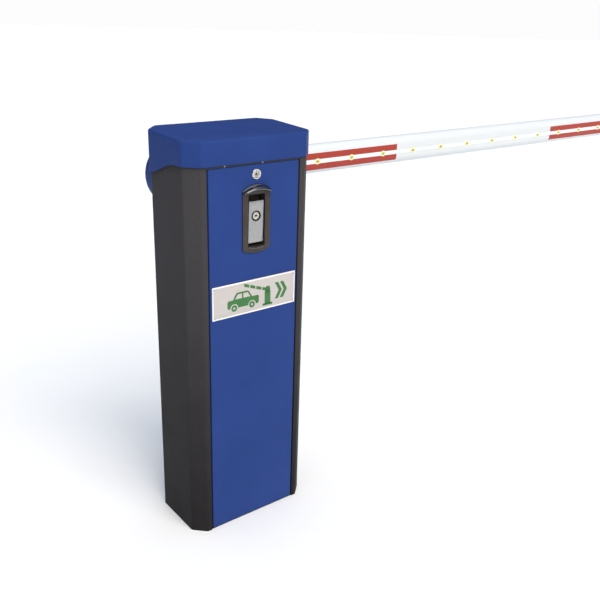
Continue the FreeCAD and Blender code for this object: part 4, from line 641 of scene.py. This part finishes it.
def disc(radius, x, z, deep=VINYL):
    """Round vinyl cut, or a cutter through it, placed in the same way."""
    front, back = SIGN_LOW.y - deep * MM, SIGN_LOW.y + max(deep - VINYL, 0) * MM
    return round_bar("disc", radius * MM, front, back, SIGN_MID.x + x * MM, SIGN_MID.z + z * MM, 48)


def sign_car():
    """Car in side view: body with wheel arches, sloping cabin with two windows, round wheels."""
    body = sticker("sign_car", -82, 12, -22, 0)
    round_edges(body, 5 * MM, 5, inward)
    cabin = sticker("cabin", -66, -8, -1, 18)
    roof = SIGN_MID.z + 17 * MM
    taper, taper_about = 0.62, -40 * MM
    pick(cabin, "VERT", lambda at: at.z > roof)
    bpy.ops.transform.resize(value=(taper, 1, 1), center_override=(SIGN_MID.x + taper_about, 0, 0))
    done(cabin)
    round_edges(cabin, 4 * MM, 4, lambda at, way: inward(at, way) and at.z > roof)
    pillar = 8 * MM
    for low_x, high_x, slant in ((-60, -39, -1), (-35, -14, 1)):
        pane = sticker("pane", low_x, high_x, 1, 13.5, CUT)
        edge = SIGN_MID.x + (high_x if slant > 0 else low_x) * MM
        pick(pane, "VERT", lambda at: at.z > roof - 5 * MM and abs(at.x - edge) < MM)
        bpy.ops.transform.translate(value=(-slant * pillar, 0, 0))
        done(pane)
        carve(cabin, pane)
    carve(body, cabin, "UNION")
    axles, axle_z = (-62, -9), -22
    arch_radius, wheel_radius, hub_radius = 11.5, 8.5, 3.2
    for x in axles:
        carve(body, disc(arch_radius, x, axle_z, CUT))
    wheels = [disc(wheel_radius, x, axle_z) for x in axles]
    for wheel, x in zip(wheels, axles):
        carve(wheel, disc(hub_radius, x, axle_z, CUT))
    return join([body, *wheels], "sign_car")


def sign_barrier():
    """Barrier in front of the car: post with a raised arm cut into bands."""
    post = sticker("sign_barrier", 30, 48, -30, 6)
    round_edges(post, 3 * MM, 4, inward)
    foot = sticker("foot", 24, 54, -34, -28)
    arms = []
    start, end = Vector((39, 0, 8)), Vector((-34, 0, 34))
    bands, gap = 4, 0.02        # the gap is a share of the arm's length
    half = 4
    for step in range(bands):
        low = start.lerp(end, step / bands + (gap if step else 0))
        high = start.lerp(end, (step + 1) / bands - gap)
        band = sticker("band", low.x, high.x, low.z - half, low.z + half)
        far = SIGN_MID.x + high.x * MM
        pick(band, "VERT", lambda at: abs(at.x - far) < 5 * NEAR)
        bpy.ops.transform.translate(value=(0, 0, (high.z - low.z) * MM))
        arms.append(done(band))
    hub = disc(8, 39, 10)
    return join([post, foot, hub, *arms], "sign_barrier")


def sign_chevrons():
    """Two bold arrowheads beside the barrier."""
    stroke_wide, half_high, point = 10, 22, 12
    marks = []
    for x in (62, 78):
        for low_z, high_z in ((-half_high, 0), (0, half_high)):
            stroke = sticker("stroke", x, x + stroke_wide, low_z, high_z)
            pick(stroke, "VERT", lambda at: abs(at.z - SIGN_MID.z) < 5 * NEAR)
            bpy.ops.transform.translate(value=(point * MM, 0, 0))
            marks.append(done(stroke))
    return join(marks, "sign_chevrons")


def sign_picture():
    """Green pictogram: a car, a barrier and two arrowheads."""
    for piece in (sign_car(), sign_barrier(), sign_chevrons()):
        dress(piece, GREEN, "door", "sign_metal")


def sign_screw_heads():
    """Pan heads with a cross recess at the sheet's corners."""
    inset, radius, proud = 6 * MM, 2.2 * MM, 0.9 * MM
    recess_half, recess_floor, slot_half = 1.5 * MM, 0.4 * MM, 0.25 * MM
    x0 = SIGN_LOW.x + inset
    z0 = SIGN_LOW.z + inset
    head = round_bar("sign_screw", radius, SIGN_LOW.y - proud, SIGN_LOW.y, x0, z0, 32)
    soften(head, 0.5 * MM, 3)
    for wide, high in ((recess_half, slot_half), (slot_half, recess_half)):
        carve(head, block("cut", (x0 - wide, SIGN_LOW.y - 2 * MM, z0 - high),
                          (x0 + wide, SIGN_LOW.y - recess_floor, z0 + high)))
    across = SIGN_HIGH.x - SIGN_LOW.x - 2 * inset
    up = SIGN_HIGH.z - SIGN_LOW.z - 2 * inset
    others = ((across, 0, 0), (0, 0, up), (across, 0, up))
    heads = smooth(join([head] + [copy_at(head, Vector(offset)) for offset in others], "sign_screw_heads"))
    return dress(heads, FASTENER, "door", "plated_fasteners", "sign_screws")


# ---- handle --------------------------------------------------------------------------------------

ARCH_LOW = 9 * MM           # rise of the bow along the dish's foot
ARCH_HIGH = 12 * MM         # and along its top
DISH_HALF = 40.5 * MM       # half the width of the dish
DISH_SIDE_LOW = 776 * MM    # lower and upper ends of its straight sides
DISH_SIDE_HIGH = 924 * MM
DISH_PROUD = 4 * MM         # how far its rim stands out from the door
HOOD_OVER = 2.0 * MM        # how far the hood reaches past the dish on each side
HOOD_TAPER = 0.15           # it narrows on each side by this share of how far it stands out
HOOD_SUNK = 0.4 * MM        # how far its root lies behind the door's face


def arch(x, rise):
    """Height of a shallow bow over the handle's width."""
    share = (x - HANDLE_X) / DISH_HALF
    return rise * max(0, 1 - share * share)


def dish_rim():
    """Moulded handle dish: bowed top and bottom, deep rounded window and a pocket behind it."""
    piece = block("handle_surround", (HANDLE_X - DISH_HALF, FRONT - DISH_PROUD, DISH_SIDE_LOW),
                  (HANDLE_X + DISH_HALF, FRONT - HAIR, DISH_SIDE_HIGH))
    steps = 16
    for step in range(1, steps):
        slice_at(piece, (HANDLE_X - DISH_HALF + 2 * DISH_HALF * step / steps, 0, 0), (1, 0, 0))
    columns = sorted({round(vertex.co.x, 5) for vertex in piece.data.vertices})
    for column in columns:
        for edge, rise in ((DISH_SIDE_HIGH, ARCH_HIGH), (DISH_SIDE_LOW, -ARCH_LOW)):
            pick(piece, "VERT", lambda at: abs(at.z - edge) < NEAR and abs(at.x - column) < NEAR / 5)
            bpy.ops.transform.translate(value=(0, 0, arch(column, rise)))
            done(piece)
    soften(piece, 1.6 * MM, 4, 40)
    back = DISH_HIGH.y
    pocket = block("pocket", (HANDLE_X - WINDOW_HALF - DISH_WALL, FRONT - 2 * MM, WINDOW_LOW - DISH_WALL),
                   (HANDLE_X + WINDOW_HALF + DISH_WALL, back, WINDOW_HIGH + DISH_WALL))
    carve(piece, pocket, "UNION")
    window = block("window", (HANDLE_X - WINDOW_HALF, FRONT - 3 * PAST, WINDOW_LOW),
                   (HANDLE_X + WINDOW_HALF, back - DISH_WALL, WINDOW_HIGH))
    round_edges(window, 3 * MM, 4, inward)
    carve(piece, window)
    soften(piece, 0.7 * MM, 3, 60)
    return smooth(piece)


# hood section: how far it stands out, as a share of the whole, and how high it is above the bow in mm
HOOD_SECTION = ((0.0, 1.0), (0.06, 2.4), (0.14, 2.9), (0.23, 2.5), (0.3, 1.4), (0.37, 0.0),
                (0.52, -1.4), (0.66, -2.4), (0.77, -2.6), (0.88, -3.3), (0.96, -4.9), (1.0, -6.9),
                (0.97, -8.8), (0.88, -10.0), (0.76, -9.8), (0.6, -8.4), (0.35, -6.9), (0.0, -6.4))
HOOD_MIDDLE = -3.0          # height in mm that the section shrinks to at the hood's ends
HOOD_BLUNT = 0.35           # the smaller, the blunter its ends


def dish_hood():
    """Hood over the window: two polished beads with a hollow between, blunt rounded ends."""
    steps = 28
    reach = FRONT - DISH_LOW.y
    sections = []
    for step in range(steps + 1):
        turn = math.pi * (step / steps - 0.5)
        swell = max(math.cos(turn), 0.0) ** HOOD_BLUNT
        ring = []
        for share, rise in HOOD_SECTION:
            out = share * reach
            half = DISH_HALF + HOOD_OVER - HOOD_TAPER * out
            x = HANDLE_X + half * math.sin(turn)
            top = DISH_SIDE_HIGH + arch(x, ARCH_HIGH)
            rise = HOOD_MIDDLE + (rise - HOOD_MIDDLE) * swell
            ring.append(Vector((x, FRONT + HOOD_SUNK - out * swell, top + rise * MM)))
        sections.append(ring)
    return loft("dish_hood", sections)


def dish_lip():
    """Polished bead along the window's lower edge, bowed like the dish."""
    steps, sides = 18, 10
    radius = 2.1 * MM
    short, drop, bow, proud = 1.2 * MM, 3.2 * MM, 3.6 * MM, 4.8 * MM
    sections = []
    for step in range(steps + 1):
        share = 2 * step / steps - 1
        x = HANDLE_X + (WINDOW_HALF - short) * share
        z = WINDOW_LOW - drop + bow * share * share
        size = radius * max(1 - share ** 8, 0.05)
        ring = []
        for corner in range(sides):
            turn = math.tau * corner / sides
            ring.append(Vector((x, FRONT - proud + size * math.cos(turn), z + size * math.sin(turn))))
        sections.append(ring)
    return loft("dish_lip", sections)


def handle_surround():
    """Handle dish in textured plastic, with its polished hood and lip."""
    rim = dish_rim()
    for bead in (dish_hood(), dish_lip()):
        dress(smooth(bead, 60), GLOSS_BLACK, "door", "black_plastic")
    return dress(rim, BLACK, "door", "black_plastic", "handle_dish")


PADDLE_FACE = PADDLE_LOW.y
PADDLE_THICK = 3 * MM
PADDLE_LEAN = 1.5           # degrees, its foot lies a little deeper than its top
BARREL_RADIUS = 4 * MM      # hinge barrel along the paddle's foot
BARREL_DEEP = 6.9 * MM      # from the paddle's face back to the barrel's middle
KEY_X = (KEY_LOW.x + KEY_HIGH.x) / 2
KEY_Z = (KEY_LOW.z + KEY_HIGH.z) / 2
PADDLE_HOLE = 11.2 * MM     # radius of the hole for the key cylinder
RING_RADIUS = 13 * MM       # outer radius of the collar round the key plug
RING_BORE = 10.2 * MM
KEY_RADIUS = 10 * MM
KEY_SUNK = 1.4 * MM         # from the paddle's face back to the plug's


def paddle_plate():
    """Pull plate with rounded corners, a hinge barrel along its foot and a hole for the key cylinder."""
    piece = block("paddle_plate", PADDLE_LOW, (PADDLE_HIGH.x, PADDLE_FACE + PADDLE_THICK, PADDLE_HIGH.z))
    round_edges(piece, 2 * MM, 4, inward)
    carve(piece, round_bar("cut", PADDLE_HOLE, PADDLE_FACE - PAST, PADDLE_FACE + PAST, KEY_X, KEY_Z))
    soften(piece, 0.6 * MM, 3, 50)
    whole(piece)
    bpy.ops.transform.rotate(value=math.radians(-PADDLE_LEAN), orient_axis="X",
                             center_override=(KEY_X, PADDLE_FACE, PADDLE_HIGH.z))
    done(piece)
    bpy.ops.object.select_all(action="DESELECT")
    middle = (KEY_X, PADDLE_FACE + BARREL_DEEP, PADDLE_LOW.z + BARREL_RADIUS)
    wide = PADDLE_HIGH.x - PADDLE_LOW.x
    bpy.ops.mesh.primitive_cylinder_add(vertices=40, radius=BARREL_RADIUS, depth=wide,
                                        location=middle, rotation=(0, math.pi / 2, 0))
    barrel = settle("barrel")
    piece = join([piece, soften(barrel, 0.4 * MM, 2)], "paddle_plate")
    return dress(smooth(piece), STAINLESS, "paddle", "paddle_metal", "handle_paddle")


def key_ring():
    """Black collar round the key plug, standing a little in front of it; its dead black also paints the
    shadowed gap round the plug.
    """
    proud, deep = 0.2 * MM, 15 * MM
    piece = round_bar("key_ring", RING_RADIUS, PADDLE_FACE - proud, PADDLE_FACE + deep, KEY_X, KEY_Z, 72)
    carve(piece, round_bar("cut", RING_BORE, PADDLE_FACE - PAST, PADDLE_FACE + 2 * deep, KEY_X, KEY_Z, 72))
    soften(piece, 0.35 * MM, 3, 50)
    return dress(smooth(piece), SHADE_BLACK, "paddle", "lock_chrome", "key_housing")


def key_face():
    """Key plug sunk in its collar: domed nickel face with a flat-bottomed keyway across it, whose
    dead-black floor is painted shade.
    """
    face = PADDLE_FACE + KEY_SUNK
    piece = round_bar("key_face", KEY_RADIUS, face, PLUG_BACK, KEY_X, KEY_Z, 72)
    soften(piece, 1.2 * MM, 5, 50)
    wide, high, deep = 4.0 * MM, 2.0 * MM, 6 * MM
    carve(piece, block("cut", (KEY_X - wide, face - PAST, KEY_Z - high),
                       (KEY_X + wide, face + deep, KEY_Z + high)))
    play, lip, thick = 0.1 * MM, 0.3 * MM, 1.7 * MM
    # painted shade: a dead-black floor set just behind the face darkens the keyway slot
    keyway = block("keyway", (KEY_X - wide + play, face + lip, KEY_Z - high + play),
                   (KEY_X + wide - play, face + lip + thick, KEY_Z + high - play))
    dress(smooth(soften(keyway, 0.2 * MM, 2)), SHADE_BLACK, "key", "lock_chrome")
    return dress(smooth(piece), NICKEL, "key", "lock_chrome", "key_plug")


def top_lock_head():
    """Quarter-turn lock: domed chrome head round a well."""
    x, z = TOP_LOCK.x, TOP_LOCK.z
    radius, proud, bore, back = 12.8 * MM, 2 * MM, 7.6 * MM, FRONT + 19 * MM
    head = round_bar("top_lock_head", radius, FRONT - proud, FRONT - HAIR, x, z, 72)
    soften(head, 1.2 * MM, 5, 50)
    carve(head, round_bar("barrel", LOCK_BARREL, FRONT - 0.5 * MM, back, x, z, 72), "UNION")
    carve(head, round_bar("cut", bore, FRONT - 2 * PAST, back + PAST, x, z, 72))
    soften(head, 0.3 * MM, 2, 50)
    return dress(smooth(head), CHROME, "door", "lock_chrome", "top_lock_body")


def top_lock_insert():
    """Turning plug inside the lock's head: a shallow round well with a raised triangular key, coloured dead
    black as painted shade of a recess.
    """
    x, z = TOP_LOCK.x, TOP_LOCK.z
    radius, proud, well, floor_at = 7.5 * MM, 1.6 * MM, 5.4 * MM, FRONT - 0.2 * MM
    piece = round_bar("top_lock_insert", radius, FRONT - proud, TOP_LOCK_HIGH.y, x, z, 64)
    carve(piece, round_bar("cut", well, FRONT - 2 * PAST, floor_at, x, z, 64))
    soften(piece, 0.3 * MM, 2, 50)
    bpy.ops.object.select_all(action="DESELECT")
    corner, thick, middle = 3.2 * MM, 1.3 * MM, FRONT - 0.7 * MM
    bpy.ops.mesh.primitive_cylinder_add(vertices=3, radius=corner, depth=thick,
                                        location=(x, middle, z), rotation=(math.pi / 2, 0, 0))
    key = soften(settle("top_lock_triangle"), 0.3 * MM, 3, 50)
    # painted shade: the raised triangle is dead black for the shade of a triangular recess
    dress(smooth(key), SHADE_BLACK, "top_lock", "lock_chrome")
    return dress(smooth(piece), NICKEL, "top_lock", "lock_chrome", "top_lock_plug")


# ---- hub drum and boom ---------------------------------------------------------------------------

BOOM_ROUND = 25 * MM        # corner radius of the boom's section
DRUM_SHEET = 2.5 * MM
TRAMLINES = (-7.3, 7.3)     # millimetres from the lamp line to the middle of each groove
TRAMLINE_HALF = 0.3         # half the width of a groove in millimetres
TRAMLINE_DEEP = 0.5 * MM
LAMP_COUNT = 21
TAPE_COUNT = 3
TAPE_PITCH = 1.2            # metres from one pair of tapes to the next
TAPE_LONG = 0.4             # metres
TAPE_WIDE = 18 * MM
TAPE_PROUD = 0.35 * MM      # its outer face in front of the boom's
TAPE_THICK = 0.3 * MM
TAPE_BACK = BOOM_MID.y - 2 * MM         # where the tapes' edges end round the boom's curve
TAPE_FEET = (6.5 * MM, -24.5 * MM)      # lower edges of the upper and lower tapes, from the lamp line


def boom_bar(name, grow, start, end):
    """Extruded boom section between two places along X, grown outward by a little if asked."""
    piece = block(name, (start, BOOM_LOW.y - grow, BOOM_LOW.z - grow),
                  (end, BOOM_HIGH.y + grow, BOOM_HIGH.z + grow))
    return round_edges(piece, BOOM_ROUND + grow, 12, lambda at, way: abs(way.x) > ALIGNED)


def hub_drum():
    """Deep-drawn drum behind the column: rounded rim, pressed centre and a mouth for the boom."""
    radius = (DRUM_HIGH.z - DRUM_LOW.z) / 2
    rim, press, sunk = 14 * MM, 2.5 * MM, 1.5 * MM
    piece = round_bar("hub_drum", radius, DRUM_LOW.y, DRUM_HIGH.y, SHAFT.x, SHAFT.z, 128)
    pick(piece, "FACE", lambda at, normal: normal.y > FACING)
    bpy.ops.mesh.inset(thickness=rim)
    bpy.ops.mesh.inset(thickness=press)
    bpy.ops.transform.translate(value=(0, -sunk, 0))
    done(piece)
    soften(piece, 3 * MM, 5, 60)
    soften(piece, 0.8 * MM, 3, 15)
    roof = DRUM_HIGH.y - sunk - 3 * MM
    carve(piece, round_bar("inner", radius - DRUM_SHEET, DRUM_LOW.y - PAST, roof, SHAFT.x, SHAFT.z, 128))
    carve(piece, boom_bar("mouth", 1.0 * MM, SHAFT.x, SHAFT.x + radius + PAST))
    return dress(smooth(piece), BLUE, "boom", "blue_paint", "hub_cover")


def boom_skin():
    """White boom extrusion with fine tramlines beside the lamp channel."""
    piece = boom_bar("boom_skin", 0, BOOM_LOW.x, BOOM_HIGH.x)
    for middle in TRAMLINES:
        for offset in (middle - TRAMLINE_HALF, middle + TRAMLINE_HALF):
            slice_at(piece, (0, 0, LAMP_Z + offset * MM), (0, 0, 1))
    for middle in TRAMLINES:
        level = LAMP_Z + middle * MM
        pick(piece, "FACE",
             lambda at, normal: normal.y < -FACING and abs(at.z - level) < TRAMLINE_HALF * MM)
        bpy.ops.mesh.extrude_region_move(TRANSFORM_OT_translate={"value": (0, TRAMLINE_DEEP, 0)})
        done(piece)
    return dress(smooth(piece, 40), ENAMEL, "boom", "white_paint", "boom_profile")


def lamp_diffuser():
    """Frosted strip snapped into the boom's channel, very slightly proud."""
    proud, sunk = 0.4 * MM, 1 * MM
    piece = block("lamp_diffuser", (STRIP_LOW.x, BOOM_LOW.y - proud, STRIP_LOW.z),
                  (STRIP_HIGH.x, BOOM_LOW.y + sunk, STRIP_HIGH.z))
    soften(piece, 0.35 * MM, 3, 50)
    return dress(smooth(piece), DIFFUSER, "boom", "frosted_strip", "lamp_strip")


def lamp_row():
    """Oval lenses with an amber diode in each, evenly spaced along the strip."""
    half = (LAMPS_HIGH.z - LAMPS_LOW.z) / math.sqrt(3)
    first = LAMPS_LOW.x + half
    pitch = (LAMPS_HIGH.x - LAMPS_LOW.x - 2 * half) / (LAMP_COUNT - 1)
    face = BOOM_LOW.y
    for name, wide, high, proud, material in (("lamp_lenses", 10.9, 8.8, 1.2, CREAM),
                                              ("lamp_diodes", 6.3, 3.8, 2.0, AMBER)):
        piece = round_bar(name, high * MM, face - proud * MM, face, first, LAMP_Z, 40)
        whole(piece)
        bpy.ops.transform.resize(value=(wide / high, 1, 1), center_override=(first, face, LAMP_Z))
        soften(done(piece), 0.8 * MM, 4, 50)
        row = [piece] + [copy_at(piece, Vector((pitch * step, 0, 0))) for step in range(1, LAMP_COUNT)]
        made = smooth(join(row, name), 50)
        replaced = ("lamps",) if material is AMBER else ()
        dress(made, material, "boom", "amber_lens", *replaced)


def tape_bands():
    """Reflective tapes above and below the lamp line, following the boom's curve."""
    made = []
    for start in [TAPES_START + TAPE_PITCH * step for step in range(TAPE_COUNT)]:
        for foot in TAPE_FEET:
            band = boom_bar("tape", TAPE_PROUD, start, start + TAPE_LONG)
            slice_at(band, (0, 0, LAMP_Z + foot), (0, 0, 1), clear_inner=True)
            slice_at(band, (0, 0, LAMP_Z + foot + TAPE_WIDE), (0, 0, 1), clear_outer=True)
            slice_at(band, (0, TAPE_BACK, 0), (0, 1, 0), clear_outer=True)
            open_up(band, lambda at, normal: abs(normal.x) > FACING)
            modify(band, "SOLIDIFY", thickness=TAPE_THICK, offset=-1.0)
            made.append(band)
    return dress(smooth(join(made, "tape_bands")), RED_TAPE, "boom", "red_reflective", "red_tapes")


def end_cap():
    """Rubber cap with a rounded nose."""
    piece = boom_bar("end_cap", 0, CAP_LOW.x, CAP_HIGH.x)
    soften(piece, 3 * MM, 4, 60)
    return dress(smooth(piece, 40), RUBBER, "boom", "rubber", "boom_end_cap")


def balance_coil():
    """Torsion spring round the shaft, wound from the lever's side to the anchor, with its two legs."""
    wire, coil_radius = 4.5 * MM, 40 * MM
    turns, turn_steps, pitch = 4.25, 32, 9.6 * MM
    low_y = SPRING_START + wire
    high_y = low_y + pitch * turns
    bpy.ops.object.select_all(action="DESELECT")
    bpy.ops.mesh.primitive_circle_add(vertices=14, radius=wire, location=(-coil_radius, 0, 0))
    piece = settle("balance_coil")
    piece.location = (SHAFT.x, low_y, SHAFT.z)
    modify(piece, "SCREW", axis="Y", angle=math.tau * turns, screw_offset=pitch * turns,
           steps=int(turn_steps * turns), render_steps=int(turn_steps * turns), use_normal_calculate=True)
    alone(piece)
    bpy.ops.object.transform_apply(location=True, rotation=True, scale=True)
    reach, flat = 6 * MM, 0.8 * MM
    legs = ((Vector((0, 0, -30 * MM)), lambda at: at.y < low_y + reach and abs(at.z - SHAFT.z) < flat),
            (Vector((75 * MM, 0, 0)), lambda at: at.y > high_y - reach and abs(at.x - SHAFT.x) < flat))
    for leg, at_end in legs:
        alone(piece)
        bpy.ops.object.mode_set(mode="EDIT")
        bpy.ops.mesh.select_mode(type="EDGE")
        bpy.ops.mesh.select_all(action="DESELECT")
        bpy.ops.mesh.select_non_manifold()
        bpy.ops.object.mode_set(mode="OBJECT")
        for edge in piece.data.edges:
            ends = [piece.data.vertices[index].co for index in edge.vertices]
            edge.select = edge.select and all(at_end(end) for end in ends)
        for vertex in piece.data.vertices:
            vertex.select = False
        for edge in piece.data.edges:
            if edge.select:
                for index in edge.vertices:
                    piece.data.vertices[index].select = True
        bpy.ops.object.mode_set(mode="EDIT")
        bpy.ops.mesh.extrude_edges_move(TRANSFORM_OT_translate={"value": leg})
        bpy.ops.mesh.edge_face_add()
        done(piece)
    whole(piece)
    bpy.ops.mesh.normals_make_consistent(inside=False)
    done(piece)
    piece.data.materials.append(SPRING)
    smooth(piece, 50)
    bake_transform(piece)
    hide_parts("balance_spring")
    return piece


for make in (column_skin, sill, rail_screws, lid_cover, door_skin, sign_sheet, sign_border, sign_picture,
             sign_screw_heads, handle_surround, paddle_plate, key_ring, key_face, top_lock_head,
             top_lock_insert, hub_drum, boom_skin, lamp_diffuser, lamp_row, tape_bands, end_cap,
             balance_coil):
    make()

# ---- studio --------------------------------------------------------------------------------------

STUDIO = 45                 # metres from the gate to each side of the studio's floor
DOME = 0.98 * STUDIO        # radius of its plain backdrop
PAPER_GLOW = 0.98           # the backdrop is about as bright as the lit floor, so its horizon hardly shows


def backdrop_white():
    """Evenly lit paper backdrop."""
    made = bpy.data.materials.new("backdrop_white")
    made.use_nodes = True
    tree = made.node_tree
    tree.nodes.clear()
    glow = add(tree, "ShaderNodeEmission", Color=tint("FFFFFF"), Strength=PAPER_GLOW)
    add(tree, "ShaderNodeOutputMaterial", Surface=glow)
    return made


bpy.ops.object.select_all(action="DESELECT")
bpy.ops.mesh.primitive_plane_add(size=2 * STUDIO)
floor = settle("studio_floor")
floor.data.materials.append(PAPER)

bpy.ops.object.select_all(action="DESELECT")
bpy.ops.mesh.primitive_uv_sphere_add(segments=48, ring_count=24, radius=DOME)
backdrop = settle("studio_backdrop")
backdrop.data.materials.append(backdrop_white())
backdrop.visible_diffuse = False
backdrop.visible_glossy = False
backdrop.visible_transmission = False
backdrop.visible_shadow = False

# soft overhead light: bright above, dim at the horizon
sky = bpy.data.worlds.new("studio")
bpy.context.scene.world = sky
sky.use_nodes = True
lit = sky.node_tree.nodes["Background"]
direction = add(sky.node_tree, "ShaderNodeTexCoord").outputs["Generated"]
height = add(sky.node_tree, "ShaderNodeSeparateXYZ", Vector=direction).outputs["Z"]
glow = add(sky.node_tree, "ShaderNodeMapRange", Value=height, From_Min=0.38, From_Max=0.95,
           To_Min=0.08, To_Max=1.28)
feed(lit, Strength=glow, Color=tint("E6F0FF"))

# broad key light in front, a little to the left and well above
sun = bpy.data.lights.new("key", "SUN")
sun.energy = 2.8
sun.color = tint("FFF6EA")[:3]
sun.angle = math.radians(50)
key_light = bpy.data.objects.new("key", sun)
key_light.rotation_euler = Vector((0.055, 0.764, -0.643)).to_track_quat("-Z", "Y").to_euler()
bpy.context.scene.collection.objects.link(key_light)

bpy.context.scene.view_settings.view_transform = "Standard"

# camera: stands front left of the gate, a little above it
CAMERA_PLACE = Vector((-1.0293, -1.5952, 1.3372))
camera_data = bpy.data.cameras.new("camera")
camera = bpy.data.objects.new("camera", camera_data)
camera_data.sensor_width = 36
camera_data.lens = 45.97
camera_data.clip_end = 200
azimuth, elevation, roll = math.radians(-38.313), math.radians(20.976), math.radians(1.659)
level = math.cos(elevation)
back = Vector((math.sin(azimuth) * level, -math.cos(azimuth) * level, math.sin(elevation)))
right = (-back).cross(Vector((0, 0, 1))).normalized()
up = right.cross(-back)
turned_right = right * math.cos(roll) + up * math.sin(roll)
turned_up = up * math.cos(roll) - right * math.sin(roll)
camera.matrix_world = Matrix((
    (turned_right.x, turned_up.x, back.x, CAMERA_PLACE.x),
    (turned_right.y, turned_up.y, back.y, CAMERA_PLACE.y),
    (turned_right.z, turned_up.z, back.z, CAMERA_PLACE.z),
    (0, 0, 0, 1)))
bpy.context.scene.collection.objects.link(camera)
bpy.context.scene.camera = camera
